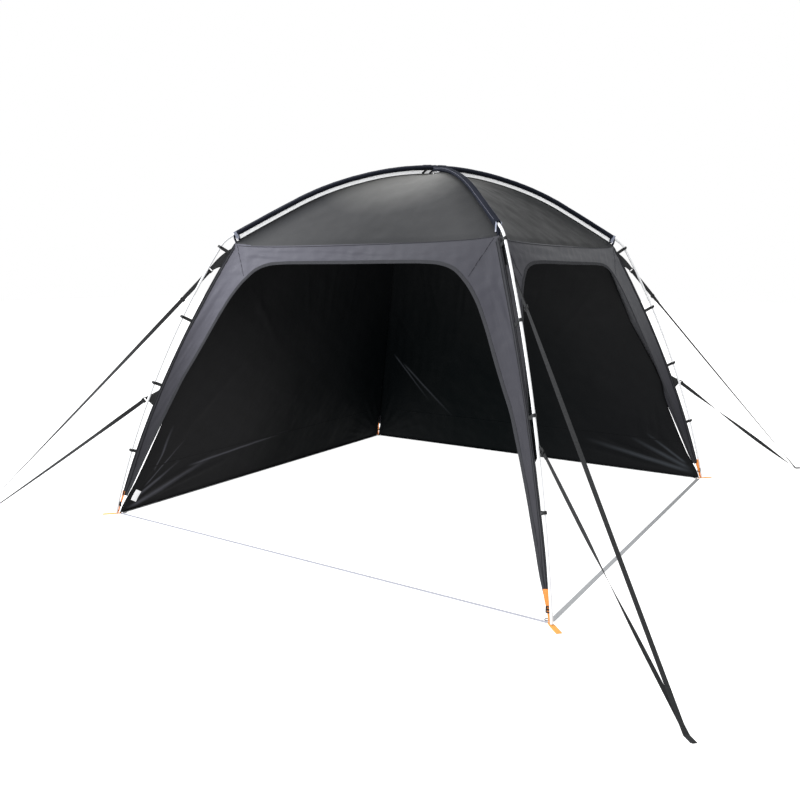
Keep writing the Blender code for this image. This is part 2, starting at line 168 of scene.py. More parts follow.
def newPiece(name, points, faces, uv, finishes, finishOf=None):
    mesh = bpy.data.meshes.new(name)
    mesh.from_pydata(points.tolist(), [], [list(face) for face in faces])
    layer = mesh.uv_layers.new(name="cut")
    corner = np.zeros(len(mesh.loops), np.int32)
    mesh.loops.foreach_get("vertex_index", corner)
    layer.data.foreach_set("uv", uv[corner].astype(np.float32).ravel())
    for finish in finishes:
        mesh.materials.append(finish)
    if finishOf is not None:
        mesh.polygons.foreach_set("material_index", finishOf.astype(np.int32))
    mesh.polygons.foreach_set("use_smooth", np.full(len(mesh.polygons), True))
    piece = bpy.data.objects.new(name, mesh)
    bpy.context.scene.collection.objects.link(piece)
    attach(piece, "root")
    return piece


def tidyMesh(piece, weld=0.00005, sharp=40.0):
    # joins points that lie together, turns the faces outward and marks edges that bend more than sharp
    work = bmesh.new()
    work.from_mesh(piece.data)
    bmesh.ops.remove_doubles(work, verts=work.verts[:], dist=weld)
    bmesh.ops.recalc_face_normals(work, faces=work.faces[:])
    work.to_mesh(piece.data)
    work.free()
    piece.data.set_sharp_from_angle(angle=math.radians(sharp))


def thicken(piece, thickness, offset=-1.0):
    # turns a surface into a thin closed solid
    solid = piece.modifiers.new("Cloth thickness", "SOLIDIFY")
    solid.thickness = thickness
    solid.offset = offset
    solid.use_even_offset = False


def gridPiece(name, grid, uv, finish, closed=False, thickness=0.0, offset=-1.0):
    # one surface of a grid of points, given a thickness here or by its caller
    rows, columns = grid.shape[:2]
    faces = gridFaces(rows, columns, closed)
    piece = newPiece(name, grid.reshape(-1, 3), faces, uv.reshape(-1, 2), [finish])
    if thickness:
        thicken(piece, thickness, offset)
    return piece


def carried(line, across, normal, profile):
    # a closed profile (across, normal) carried along a line: each ring is its point plus both directions
    return line[:, None] + across[:, None] * profile[..., :1] + normal[:, None] * profile[..., 1:]


def bodyOf(rings):
    # points, faces and UV in metres of closed rings with a flat face at each end
    rows, columns = rings.shape[:2]
    faces = gridFaces(rows, columns, closed=True).tolist()
    faces.append(list(range(columns - 1, -1, -1)))
    faces.append([(rows - 1) * columns + j for j in range(columns)])
    along = travelled(rings.mean(axis=1))
    ring = np.linalg.norm(np.roll(rings, -1, axis=1) - rings, axis=2).mean(axis=0)
    around = np.concatenate([[0], np.cumsum(ring)[:-1]])
    uv = stacked(around[None, :], along[:, None], 0.0)[..., :2]
    return rings.reshape(-1, 3), faces, uv.reshape(-1, 2)


def bodiesPiece(name, bodies, finish):
    # several ringed bodies in one mesh
    points, faces, uv, count = [], [], [], 0
    for rings in bodies:
        p, f, t = bodyOf(rings)
        points.append(p)
        faces += [[index + count for index in face] for face in f]
        uv.append(t)
        count += len(p)
    piece = newPiece(name, np.concatenate(points), faces, np.concatenate(uv), [finish])
    tidyMesh(piece, weld=0.000005)
    return piece


def unit(vectors):
    return vectors / np.maximum(np.linalg.norm(vectors, axis=-1, keepdims=True), 1e-12)


def headings(line):
    return unit(np.gradient(line, axis=0))


def squareTo(across, along):
    # what is left of a direction without its share along the line
    return across - along * (across * along).sum(-1, keepdims=True)


def webProfile(width, thickness, steps=16):
    # flat oval with nearly square ends: cosine and sine, each raised to a low power
    angle = np.linspace(0, 2 * np.pi, steps, endpoint=False) + np.pi / steps
    c, s = np.cos(angle), np.sin(angle)
    across = np.sign(c) * np.abs(c) ** 0.35 * width / 2
    return np.stack([across, np.sign(s) * np.abs(s) ** 0.6 * thickness / 2], axis=-1)


def sizedProfile(width, thickness, steps=12):
    # the same oval once for each place of a line, with its own width there
    return webProfile(1.0, 1.0, steps)[None] * stacked(width, thickness, 0.0)[:, None, :2]


def roundProfile(radius, steps=24):
    angle = np.linspace(0, 2 * np.pi, steps, endpoint=False)
    return np.stack([np.cos(angle), np.sin(angle)], axis=-1) * radius


def strapRings(line, across, width, thickness, steps=16):
    # flat webbing along a line, its width lying along the across directions
    across = unit(np.broadcast_to(across, line.shape))
    normal = unit(np.cross(headings(line), across))
    profile = sizedProfile(np.broadcast_to(width, len(line)), thickness, steps)
    return carried(line, unit(np.cross(normal, headings(line))), normal, profile)


def tubeRings(line, hint, radius, steps=24):
    # round tube along a line; hint is any direction that the line never runs along
    along = headings(line)
    across = unit(np.cross(along, np.broadcast_to(np.asarray(hint, float), line.shape)))
    return carried(line, across, unit(np.cross(along, across)), roundProfile(radius, steps))


# Finishes

def startFinish(name, roughness, specular):
    material = bpy.data.materials.new(name)
    material.use_nodes = True
    shader = material.node_tree.nodes["Principled BSDF"]
    shader.inputs["Roughness"].default_value = roughness
    shader.inputs["Specular IOR Level"].default_value = specular
    return material, material.node_tree, shader


def addNode(tree, kind, sockets=(), **settings):
    node = tree.nodes.new("ShaderNode" + kind)
    for key, value in settings.items():
        setattr(node, key, value)
    for key, value in dict(sockets).items():
        if isinstance(value, bpy.types.NodeSocket):
            tree.links.new(value, node.inputs[key])
        else:
            node.inputs[key].default_value = value
    return node


def addMath(tree, operation, *values):
    return addNode(tree, "Math", enumerate(values), operation=operation).outputs[0]


def addVector(tree, operation, output, *values):
    return addNode(tree, "VectorMath", enumerate(values), operation=operation).outputs[output]


def places(tree):
    # the place on the tent, and the UV in metres
    node = addNode(tree, "TexCoord")
    return node.outputs["Object"], node.outputs["UV"]


def noise(tree, place, scale, detail=3.0, roughness=0.5):
    sockets = {"Vector": place, "Scale": scale, "Detail": detail, "Roughness": roughness}
    return addNode(tree, "TexNoise", sockets).outputs["Fac"]


def reach(tree, value, low, high, start=0.3, end=0.7):
    # value from start to end becomes low to high
    sockets = {"Value": value, "From Min": start, "From Max": end, "To Min": low, "To Max": high}
    return addNode(tree, "MapRange", sockets).outputs["Result"]


def twoTone(tree, share, first, second):
    # from the first colour to the second, each a colour or another node's output
    mix = addNode(tree, "Mix", {0: share}, data_type="RGBA")
    for socket, colour in ((mix.inputs[6], first), (mix.inputs[7], second)):
        if isinstance(colour, bpy.types.NodeSocket):
            tree.links.new(colour, socket)
        else:
            socket.default_value = (*colour, 1.0)
    return mix.outputs[2]


def mottled(tree, shader, tone, colour, worn):
    # base colour between two close tones
    tree.links.new(twoTone(tree, reach(tree, tone, 0.0, 1.0), colour, worn), shader.inputs["Base Color"])


def glow(shader, strength):
    # light of its own: painted glow on the white tag and the mesh band, and an evenly bright floor
    shader.inputs["Emission Color"].default_value = (1, 1, 1, 1)
    shader.inputs["Emission Strength"].default_value = strength


def ridgeNearness(tree, place, near, far):
    # how close to the upright diagonal planes, where the painted ridge shade lies: the difference of x and y
    # without their signs
    parts = addNode(tree, "SeparateXYZ", {0: place}).outputs
    apart = addMath(tree, "SUBTRACT", *(addMath(tree, "ABSOLUTE", parts[axis]) for axis in "XY"))
    return reach(tree, addMath(tree, "ABSOLUTE", apart), 1.0, 0.0, near, far)


def creased(tree, place, scale):
    # crumpled cloth: noise folded about its middle leaves sharp creases between soft pillows
    return addMath(tree, "ABSOLUTE", addMath(tree, "SUBTRACT", noise(tree, place, scale, 2.0, 0.45), 0.5))


def threads(tree, place, across, along):
    # plain weave: two crossed sets of fine waves, multiplied, on UV in metres
    parts = addNode(tree, "SeparateXYZ", {0: place}).outputs
    waves = [addMath(tree, "SINE", addMath(tree, "MULTIPLY", parts[axis], 2 * math.pi / pitch))
             for axis, pitch in (("X", across), ("Y", along))]
    return addMath(tree, "MULTIPLY", *waves)


def bumped(tree, shader, layers):
    # bump layers (height socket, distance in metres, strength) laid over each other
    normal = None
    for height, distance, strength in layers:
        sockets = {"Height": height, "Distance": distance, "Strength": strength}
        if normal is not None:
            sockets["Normal"] = normal
        normal = addNode(tree, "Bump", sockets).outputs["Normal"]
    tree.links.new(normal, shader.inputs["Normal"])


def streak(tree, place, start, end, width):
    # mask of a painted highlight: 1 along a fold's crest from start to end on UV in metres, fading over its width
    # and towards its far end
    run = np.array(end, float) - start
    length = float(np.hypot(*run))
    gone = addVector(tree, "SUBTRACT", "Vector", place, (*start, 0.0))
    along = addVector(tree, "DOT_PRODUCT", "Value", gone, (run[0] / length**2, run[1] / length**2, 0.0))
    across = addVector(tree, "DOT_PRODUCT", "Value", gone, (-run[1] / length, run[0] / length, 0.0))
    total = reach(tree, addMath(tree, "ABSOLUTE", across), 1.0, 0.0, 0.0, width)
    for span in ((0.0, 1.0, 0.0, 0.12), (1.0, 0.0, 0.45, 1.0)):
        total = addMath(tree, "MULTIPLY", total, reach(tree, along, *span))
    return total


def clothFinish(name, cloth):
    # coated tent cloth: fine weave, creases and slack crinkles, a slow change of tone and gloss, and painted light
    # and shade by place
    material, tree, shader = startFinish(name, cloth["roughness"], cloth["specular"])
    place, cut = places(tree)
    slow = noise(tree, place, cloth["patchScale"], 2.0)
    colour = twoTone(tree, reach(tree, slow, 0.0, 1.0), cloth["colour"], cloth["worn"])
    if "ridge" in cloth:  # painted shade: darker beside the ridges
        colour = twoTone(tree, ridgeNearness(tree, place, 0.0, 0.20), colour, cloth["ridge"])
    for centre, near, far, tone in cloth.get("lightAndShadeTints", ()):  # painted light and shade, each fading from near to far of a point of the tent
        away = addVector(tree, "DISTANCE", "Value", place, centre)
        colour = twoTone(tree, reach(tree, away, 1.0, 0.0, near, far), colour, tone)
    for start, end, width in cloth.get("highlightStreaks", ()):  # painted highlights along the crests of folds
        colour = twoTone(tree, streak(tree, cut, start, end, width), colour, cloth["crest"])
    # painted glow: the cloth gives off light of its own
    if "through" in cloth:
        glow(shader, cloth["through"])
    if "low" in cloth:  # painted shade: darker towards the foot
        height = addNode(tree, "SeparateXYZ", {0: place}).outputs["Z"]
        colour = twoTone(tree, reach(tree, height, 1.0, 0.0, *cloth["lowReach"]), colour, cloth["low"])
    tree.links.new(colour, shader.inputs["Base Color"])
    gloss = reach(tree, noise(tree, place, 9.0), cloth["roughness"] - 0.05, cloth["roughness"] + 0.06)
    tree.links.new(gloss, shader.inputs["Roughness"])
    crinkle = noise(tree, place, cloth["crinkleScale"], 4.0, 0.55)
    folds = creased(tree, place, cloth["creaseScale"])
    weave = threads(tree, cut, cloth["thread"], cloth["thread"])
    bumped(tree, shader, [(folds, cloth["crease"], 1.0), (crinkle, cloth["crinkle"], 1.0), (weave, 0.00006, 0.35)])
    return material


def webbingFinish(name, colour, worn, roughness=0.7, specular=0.15, rib=0.0018):
    # woven strap: ribs across it, a slightly darker thread here and there, soft wear
    material, tree, shader = startFinish(name, roughness, specular)
    place, cut = places(tree)
    ribs = threads(tree, cut, rib * 1.6, rib)
    flecks = noise(tree, place, 160.0, 2.0)
    mottled(tree, shader, flecks, colour, worn)
    bumped(tree, shader, [(ribs, 0.0002, 0.6), (flecks, 0.0002, 0.4)])
    return material


def hardFinish(name, colour, worn, roughness, specular, scale, grain):
    # moulded or lacquered surface: faint mottling in gloss and a very fine grain
    material, tree, shader = startFinish(name, roughness, specular)
    place, _ = places(tree)
    mottle = noise(tree, place, scale, 3.0)
    mottled(tree, shader, mottle, colour, worn)
    tree.links.new(reach(tree, mottle, roughness - 0.04, roughness + 0.05), shader.inputs["Roughness"])
    bumped(tree, shader, [(noise(tree, place, 420.0, 2.0), grain, 0.3)])
    return material


def meshFinish(name, colour, shadow, hole, through):
    # open diamond mesh: crossed slanting threads that stand up from holes in a painted shadow tone; a little
    # painted glow
    material, tree, shader = startFinish(name, 0.6, 0.3)
    slanted = addNode(tree, "Mapping", {"Vector": places(tree)[1], "Rotation": (0, 0, math.radians(45))})
    net = threads(tree, slanted.outputs[0], hole, hole)
    share = reach(tree, net, 0.0, 1.0, -0.2, 0.9)
    tree.links.new(twoTone(tree, share, colour, shadow), shader.inputs["Base Color"])
    glow(shader, through)
    bumped(tree, shader, [(net, 0.0006, 0.5)])
    return material


roofCloth = clothFinish("roof_cloth", {
    "colour": (0.045, 0.046, 0.048), "worn": (0.051, 0.052, 0.054), "roughness": 0.50, "specular": 0.09,
    # roof: painted shade beside the ridges
    "ridge": (0.020, 0.021, 0.023), "lightAndShadeTints": (
        # painted shade: darker by the middle of the front eave
        ((0.2, -0.95, 1.75), 0.15, 0.75, (0.028, 0.029, 0.031)),
        # painted highlight: lighter round the crown
        ((0, 0, 2.2), 0.20, 0.78, (0.156, 0.156, 0.150)),
        # painted shade: darker over the right gore
        ((1.0, 0.1, 1.9), 0.55, 1.02, (0.011, 0.012, 0.013))),
    "patchScale": 1.6, "crinkleScale": 26.0, "crinkle": 0.0003, "creaseScale": 5.0, "crease": 0.0012,
    "thread": 0.0011})
sideCloth = clothFinish("side_cloth", {
    "colour": (0.052, 0.052, 0.064), "worn": (0.060, 0.060, 0.073), "roughness": 0.50, "specular": 0.14,
    # side cloth: painted shade, darker towards the foot
    "low": (0.026, 0.026, 0.031), "lowReach": (0.25, 1.45), "lightAndShadeTints": (
        # painted highlight: lighter by the front left corner
        ((-1.1, -1.2, 1.6), 0.10, 1.3, (0.096, 0.095, 0.118)),
        # painted light: lighter on the right side's valance
        ((1.05, 0.3, 1.65), 0.9, 1.6, (0.092, 0.094, 0.102)),
        # painted shade: darker by the front right corner
        ((1.0, -1.15, 1.4), 0.10, 0.9, (0.036, 0.036, 0.046))),
    "patchScale": 4.0, "crinkleScale": 30.0, "crinkle": 0.0007, "creaseScale": 11.0, "crease": 0.0021,
    "thread": 0.0011})
wallLook = {
    "colour": (0.0115, 0.0118, 0.0124), "worn": (0.0140, 0.0143, 0.0150), "roughness": 0.6, "specular": 0.04,
    # painted light and shade on the walls; first, painted shade darker towards the back left corner, deep inside
    "lightAndShadeTints": (((-1.3, 1.2, 0.7), 0.25, 2.3, (0.0014, 0.0024, 0.0029)),
              # painted shade: darker low towards the back right corner
              ((0.9, 1.2, 0.2), 0.2, 1.2, (0.0050, 0.0054, 0.0062)),
              # painted shade: darker low near the middle of the back wall
              ((-0.3, 1.3, 0.4), 0.3, 1.2, (0.0003, 0.0014, 0.0018)),
              # painted light: lighter low on the left wall near the front opening
              ((-1.45, -0.9, 0.5), 0.3, 1.0, (0.020, 0.020, 0.021))),
    "patchScale": 3.0, "crinkleScale": 24.0, "crinkle": 0.0012, "creaseScale": 6.0, "crease": 0.0035,
    "thread": 0.0011}
# walls: painted highlights along fold crests, in the crest colour
wallCloths = {
    "left": clothFinish("left_wall_cloth", {**wallLook, "crest": (0.085, 0.086, 0.100), "highlightStreaks": (
        ((-1.46, 0.015), (-0.70, 0.262), 0.026), ((-0.98, 0.222), (0.10, 0.296), 0.012),
        ((-1.40, 0.090), (-1.04, 0.290), 0.013), ((-1.34, 0.150), (-1.04, 0.440), 0.009),
        ((-1.28, 0.250), (-1.17, 0.560), 0.011))}),
    "back": clothFinish("back_wall_cloth", {**wallLook, "crest": (0.034, 0.038, 0.044), "highlightStreaks": (
        ((1.46, 0.045), (0.60, 0.225), 0.026), ((1.44, 0.070), (0.97, 0.290), 0.022),
        ((1.41, 0.110), (1.10, 0.340), 0.016), ((-1.13, 0.84), (-0.84, 0.42), 0.012),
        ((-1.05, 0.76), (-0.62, 0.29), 0.013))}),
}
smallCloth = {"patchScale": 8.0, "crinkleScale": 40.0, "creaseScale": 18.0, "thread": 0.0010}
sleeveCloth = clothFinish("sleeve_cloth", {
    **smallCloth, "colour": (0.012, 0.014, 0.021), "worn": (0.018, 0.020, 0.029), "roughness": 0.75,
    "specular": 0.03, "crinkle": 0.0015, "crease": 0.0015})
patchCloth = clothFinish("patch_cloth", {
    **smallCloth, "colour": (0.026, 0.027, 0.028), "worn": (0.034, 0.035, 0.036), "roughness": 0.6,
    "specular": 0.12, "crinkle": 0.0010, "crease": 0.0010})
# the white tag gets a little painted glow
whiteTag = clothFinish("white_tag", {
    "colour": (0.88, 0.88, 0.88), "worn": (0.84, 0.84, 0.85), "roughness": 0.6, "specular": 0.3, "through": 0.35,
    "patchScale": 20.0, "crinkleScale": 90.0, "crinkle": 0.0006, "creaseScale": 40.0, "crease": 0.0006,
    "thread": 0.0006})
webbings = {  # colour, worn colour, roughness, specular, rib
    "binding_tape": ((0.029, 0.030, 0.034), (0.036, 0.037, 0.042), 0.7, 0.15, 0.0016),
    "soft_thread": ((0.030, 0.030, 0.036), (0.036, 0.036, 0.043), 0.7, 0.12, 0.0024),
    "seam_thread": ((0.012, 0.012, 0.015), (0.018, 0.018, 0.021), 0.7, 0.12, 0.0024),
    "pale_thread": ((0.10, 0.105, 0.13), (0.13, 0.135, 0.165), 0.6, 0.2, 0.0024),
    "dark_strap": ((0.018, 0.019, 0.020), (0.028, 0.029, 0.030), 0.72),
    "end_strap": ((0.23, 0.25, 0.32), (0.29, 0.31, 0.38)),
    "grey_strap": ((0.35, 0.36, 0.37), (0.42, 0.43, 0.44), 0.75),
    "pale_strap": ((0.56, 0.57, 0.67), (0.64, 0.65, 0.74), 0.75),
    # paler copy of the base straps' webbing, for the front one only: painted sheen
    "sheen_front_strap": ((0.44, 0.45, 0.51), (0.50, 0.51, 0.57), 0.75),
    "tab_strap": ((0.80, 0.37, 0.085), (0.84, 0.42, 0.12)),
    "orange_strap": ((0.78, 0.240, 0.048), (0.84, 0.31, 0.08), 0.65, 0.20),
}
straps = {name: webbingFinish(name, *look) for name, look in webbings.items()}
# white mesh band: painted shadow in its holes and a little painted glow
bandMesh = meshFinish("band_mesh", (0.92, 0.93, 0.94), (0.80, 0.81, 0.84), 0.011, 0.16)
whitePole = hardFinish("white_pole", (0.88, 0.89, 0.90), (0.83, 0.84, 0.86), 0.28, 0.5, 14.0, 0.00005)
blackPlastic = hardFinish("black_plastic", (0.010, 0.011, 0.012), (0.016, 0.017, 0.018), 0.42, 0.3, 60.0, 0.00008)
print("finishes made")


# Cover: one sheet, four gores over the roof and an arched strip down each side

cover = {
    "archEdge": ((0.0, 1.607), (0.30, 1.608), (0.50, 1.607), (0.60, 1.600), (0.69, 1.574), (0.78, 1.506),
                 (0.868, 1.402), (0.93, 1.298), (1.032, 1.101), (1.086, 1.0), (1.157, 0.868), (1.201, 0.762),
                 (1.243, 0.66), (1.290, 0.54), (1.335, 0.42), (1.378, 0.30), (1.396, 0.25), (1.418, 0.19),
                 (1.4490, 0.12)),  # s, z from middle to tip
    # which place of the edge a place of the fold or eave goes with: shares of the wing's length and s, then the
    # distance from the corner along the eave and s
    "wingPairs": ((0.62, 1.115), (0.86, 0.90)),
    "eavePair": (0.30, 0.55),
    "dartFoot": 0.780,  # s on the arch's edge where the slanting seam starts
    "dartTop": 0.916,  # and on the eave where it ends
    "wingBow": 1.3,  # how a wing leaves the side's plane towards its fold
    "wingLines": 100,
    "eaveLines": 56,
    "acrossLines": 22,
    "roofRows": 42,
    "rollLines": 7,  # of both, close together beside the eave
    "crownStart": 0.012,
    "bandAndSleeve": 0.057,  # the roof's ridge lies this far below the sleeves' top, square to its slope
    "roofSag": 0.022,
    "eaveRoll": 0.030,
    "eaveSink": 0.207,  # share of that roll by which its edge sinks
    "seamDrop": 0.010,  # the roof's cloth ends this far below the rolled edge
    "cornerFade": 0.10,  # the roll and its lines fade out over this length before a corner
    "thickness": 0.0009,
    # top line of the sleeves: an arc, then a straight slope
    "arcRadius": 2.0,
    "arcEnd": 0.9,
    "slopeBeyond": 0.525,
    "settled": ((0.007, 0.0, 0.5), (0.006, 1.0, 0.3)),  # how far it settles, from which r and over which length
    "dipEnd": 1.32,  # r where the lower sleeve has come up again
    # slack of the cloth: height and lengths of its waves
    "roofWaves": ((0.0022, 0.5, 0.24), (0.0012, 0.14, 0.10)),
    "wingWaves": ((0.0026, 0.05, 0.7),),
    "wingSlant": 0.55,  # of its waves
    "wingZone": (1.55, 0.2),  # they reach up to this height, and fade out over this length
    "valanceWaves": ((0.0022, 0.30, 0.040),),
    "fineWaves": ((0.0012, 0.10, 0.08), (0.0007, 0.05, 0.05)),
    "slack": (0.0012, -0.0022, 0.007),  # always there, least and most of the waves
    # folds out of the eave's corners, and puckers across the slanting seams
    "cornerFolds": (14, 24, 36, 50),  # degrees from the eave, on the roof
    "roofFoldStart": (0.90, 0.915),
    "foldLength": 0.75,
    "foldHeight": 0.0024,
    "stripFoldStart": (0.90, 1.705),
    "stripFoldWidth": 0.009,
    "puckerStart": (0.795, 1.535),
    "puckerStep": (0.022, 0.036),
    "puckerWay": (0.045, -0.022),
    "puckerWidth": 0.007,
}


def sleeveTop(r, low=0.0):
    # an arc, then a straight slope, settled a few millimetres; the lower sleeve dips at the crown
    r = np.abs(r)
    radius, end = cover["arcRadius"], cover["arcEnd"]
    fall = radius - np.sqrt(radius**2 - np.minimum(r, end) ** 2) + cover["slopeBeyond"] * np.maximum(r - end, 0.0)
    settled = sum(depth * np.clip((r - start) / length, 0, 1) ** 1.5 for depth, start, length in cover["settled"])
    return shelter["crownHeight"] - fall - settled - low * (1 - (r / cover["dipEnd"]) ** 4)


def ridgeHeight(r):
    # the roof's ridge keeps its distance below the sleeves' top line, measured square to the slope
    end, beyond = cover["arcEnd"], cover["slopeBeyond"]
    slope = np.where(r < end, r / np.sqrt(cover["arcRadius"] ** 2 - np.minimum(r, end) ** 2), beyond)
    drop = cover["bandAndSleeve"] * np.sqrt(1 + slope**2)
    last = sleeveTop(shelter["cornerReach"]) - cover["bandAndSleeve"] * math.hypot(1, beyond)
    return sleeveTop(r) - drop - (last - shelter["cornerHeight"]) * (r / shelter["cornerReach"]) ** 6


def roofSurface(r, u):
    # a gore: across between its two ridges, lower in the middle by a sag that fades at crown and eave
    down = r / shelter["cornerReach"]
    eaveOut, eaveHigh = eaveLine(u * shelter["cornerHalf"])
    x = u * r / math.sqrt(2)
    y = r / math.sqrt(2) + (eaveOut - shelter["cornerHalf"]) * down**4
    z = ridgeHeight(r) + (eaveHigh - shelter["cornerHeight"]) * down**3
    z = z - cover["roofSag"] * 4 * down * (1 - down) * (1 - u**2)
    inside = (1 - u**2) * np.sin(np.pi * np.clip(down, 0, 1)) ** 0.6
    slack = waves(x, y, cover["roofWaves"], 11)
    for end in (-1, 1):
        for k, angle in enumerate(np.radians(cover["cornerFolds"])):
            start = np.multiply(cover["roofFoldStart"], (end, 1))
            way = cover["foldLength"] * np.array([end * math.cos(angle), math.sin(angle)])
            slack = slack + crease(x, y, start, start - way, 0.018 + 0.004 * k, cover["foldHeight"])
    return np.stack([x, y, z + inside * slack], axis=-1)


def stripLines():
    # inner and outer ends (s, out, z) of half a side's strip, from the foot's tip over the corner to the middle
    edge = smoothLine(cover["archEdge"], 800)[::-1]
    gone = travelled(edge)
    fold = np.linspace(shelter["wingTip"], shelter["cornerHeight"], cover["wingLines"])
    foldHalves = np.append(foldHalf(fold[:-1]), shelter["cornerHalf"])
    eave = shelter["cornerHalf"] * (1 - np.linspace(0, 1, cover["eaveLines"] + 1)[1:])
    outer = np.concatenate([stacked(foldHalves, foldHalves, fold), stacked(eave, *eaveLine(eave))])
    goneOuter = travelled(outer)
    corner = goneOuter[len(fold) - 1]

    pairs = [(share * corner, s) for share, s in cover["wingPairs"]]
    pairs.append((corner + shelter["cornerHalf"] - cover["dartTop"], cover["dartFoot"]))
    pairs.append((corner + cover["eavePair"][0], cover["eavePair"][1]))
    pairs = [(at, np.interp(-s, -edge[:, 0], gone)) for at, s in pairs]
    inner = np.interp(goneOuter, *np.array([(0.0, 0.0), *pairs, (goneOuter[-1], gone[-1])]).T)
    kernel = np.ones(13) / 13  # evens out the turns between those pairs
    padded = np.concatenate([2 * inner[0] - inner[6:0:-1], inner, 2 * inner[-1] - inner[-2:-8:-1]])
    inner = np.convolve(padded, kernel, mode="valid")
    s = np.interp(inner, gone, edge[:, 0])
    z = np.interp(inner, gone, edge[:, 1])
    return stacked(s, sidePlane(z), z), outer


stripInner, stripOuter = stripLines()
# a whole side's lines, from one foot to the other: both halves, mirrored in s
wholeInner, wholeOuter = (np.concatenate([half[:-1] * (-1.0, 1.0, 1.0), half[::-1]])
                          for half in (stripInner, stripOuter))
stripCount = len(wholeInner)


def stripEnds(line):
    return [np.stack([np.interp(line, np.arange(stripCount), ends[:, k]) for k in range(3)], axis=-1)
            for ends in (wholeInner, wholeOuter)]


def stripWidth(line):
    a, b = stripEnds(line)
    return np.linalg.norm(b - a, axis=-1)


def stripSurface(line, w, side):
    # straight from the arch's edge to fold or eave, bowed out towards the fold as a power of w, plus folds
    a, b = stripEnds(line)
    place = a + (b - a) * w[..., None]
    leave = b[..., 1] - sidePlane(b[..., 2])
    s, z = place[..., 0], place[..., 2]
    out = sidePlane(z) + leave * w ** cover["wingBow"]
    return stacked(s, out, z) + stripSlack(s, z, w, side)[..., None] * shelter["sideOut"]


def stripSlack(s, z, w, side):
    # outward folds: long ones down the wings, level ripples in the valance, none at fold, eave or edge
    still = np.sin(np.pi * np.clip(w, 0, 1)) ** 0.7
    top, length = cover["wingZone"]
    wing = np.clip((top - z) / length, 0, 1)
    narrow = 0.45 + 0.55 * np.clip((z - 0.2) / 0.7, 0, 1)
    down = waves(np.abs(s) + cover["wingSlant"] * z, z, cover["wingWaves"], 21 + side) * wing * narrow
    ripple = waves(s, z, cover["valanceWaves"], 31 + side) * (1 - wing)
    first, second = cover["fineWaves"]
    fine = waves(s, z, [first], 41 + side) + waves(s, z, [second], 45 + side)
    pull = 0
    for end in (-1, 1):
        start = np.multiply(cover["stripFoldStart"], (end, 1))
        for k in range(3):  # folds out of the eave's corners
            stop = (end * (0.62 - 0.14 * k), 1.655 + 0.018 * k)
            pull = pull + crease(s, z, start, stop, cover["stripFoldWidth"], cover["foldHeight"])
        way = np.multiply(cover["puckerWay"], (end, 1))
        for k in range(5):
            at = np.multiply(np.add(cover["puckerStart"], np.multiply(cover["puckerStep"], k)), (end, 1))
            pull = pull + crease(s, z, at - way, at + way, cover["puckerWidth"], cover["foldHeight"])
    always, least, most = cover["slack"]
    return still * (always + np.clip(down + ripple + fine, least, most) + pull)


def rollEave(points, distance, toCorner):
    # rounds the eave: points near its line sink inwards by the square of their nearness, but not at a corner
    distance = distance + 1 - np.clip(toCorner / cover["cornerFade"], 0, 1)
    near = np.clip(1 - distance / cover["eaveRoll"], 0, 1) ** 2
    return points + near[..., None] * cover["eaveSink"] * cover["eaveRoll"] * shelter["eaveIn"]


def sideGrid(side):
    # strip grid of one side, from edge to fold, with closer lines by the eave for the rolled edge;
    # also how far each place lies below the eave, very far under a fold
    w = np.concatenate([np.linspace(0, 0.72, cover["acrossLines"] - cover["rollLines"]),
                        np.linspace(0.77, 1, cover["rollLines"])])
    line, w = np.meshgrid(np.arange(stripCount, dtype=float), w, indexing="ij")
    grid = stripSurface(line, w, side)
    number = np.arange(stripCount)
    isEave = (number >= cover["wingLines"] - 1) & (number <= stripCount - cover["wingLines"])
    below = np.where(isEave, wholeOuter[:, 2], 9.0)[:, None] - grid[..., 2]
    return rollEave(grid, below, (shelter["cornerHalf"] - np.abs(wholeOuter[:, 0]))[:, None]), below


def goreGrid():
    columns = wholeOuter[cover["wingLines"] - 1:stripCount - cover["wingLines"] + 1, 0] / shelter["cornerHalf"]
    rows = np.concatenate([np.linspace(cover["crownStart"], 1.262, cover["roofRows"] - cover["rollLines"]),
                           np.linspace(1.275, shelter["cornerReach"], cover["rollLines"])])
    r, u = np.meshgrid(rows, columns, indexing="ij")
    distance = (shelter["cornerReach"] - r) / math.sqrt(2)
    return rollEave(roofSurface(r, u), distance, (1 - np.abs(u)) * shelter["cornerHalf"])


def coverPiece():
    points, faces, uv, tone, count = [], [], [], [], 0
    for side, turns in enumerate(sides.values()):
        strip, below = sideGrid(side)
        for grid, isRoof in ((strip, False), (goreGrid(), True)):
            rows, columns = grid.shape[:2]
            made = gridFaces(rows, columns)
            points.append(turned(grid, turns).reshape(-1, 3))
            uv.append(grid[..., (0, 1 if isRoof else 2)].reshape(-1, 2))
            depth = 0 * made[:, 0] if isRoof else below.reshape(-1)[made].mean(axis=1)
            tone.append(np.where(depth < cover["seamDrop"], 0, 1))
            faces.append(made + count)
            count += rows * columns
    piece = newPiece("cover", np.concatenate(points), np.concatenate(faces).tolist(), np.concatenate(uv),
                     [roofCloth, sideCloth], np.concatenate(tone))
    tidyMesh(piece, weld=0.0004, sharp=50.0)
    thicken(piece, cover["thickness"])
    names = [f"roof_{side}" for side in sides] + [f"valance_{side}" for side in sides]
    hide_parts(*names, *[f"wing_{corner}" for corner in corners])
    return piece


coverSheet = coverPiece()
print("cover made")


# Tapes sewn on the cover

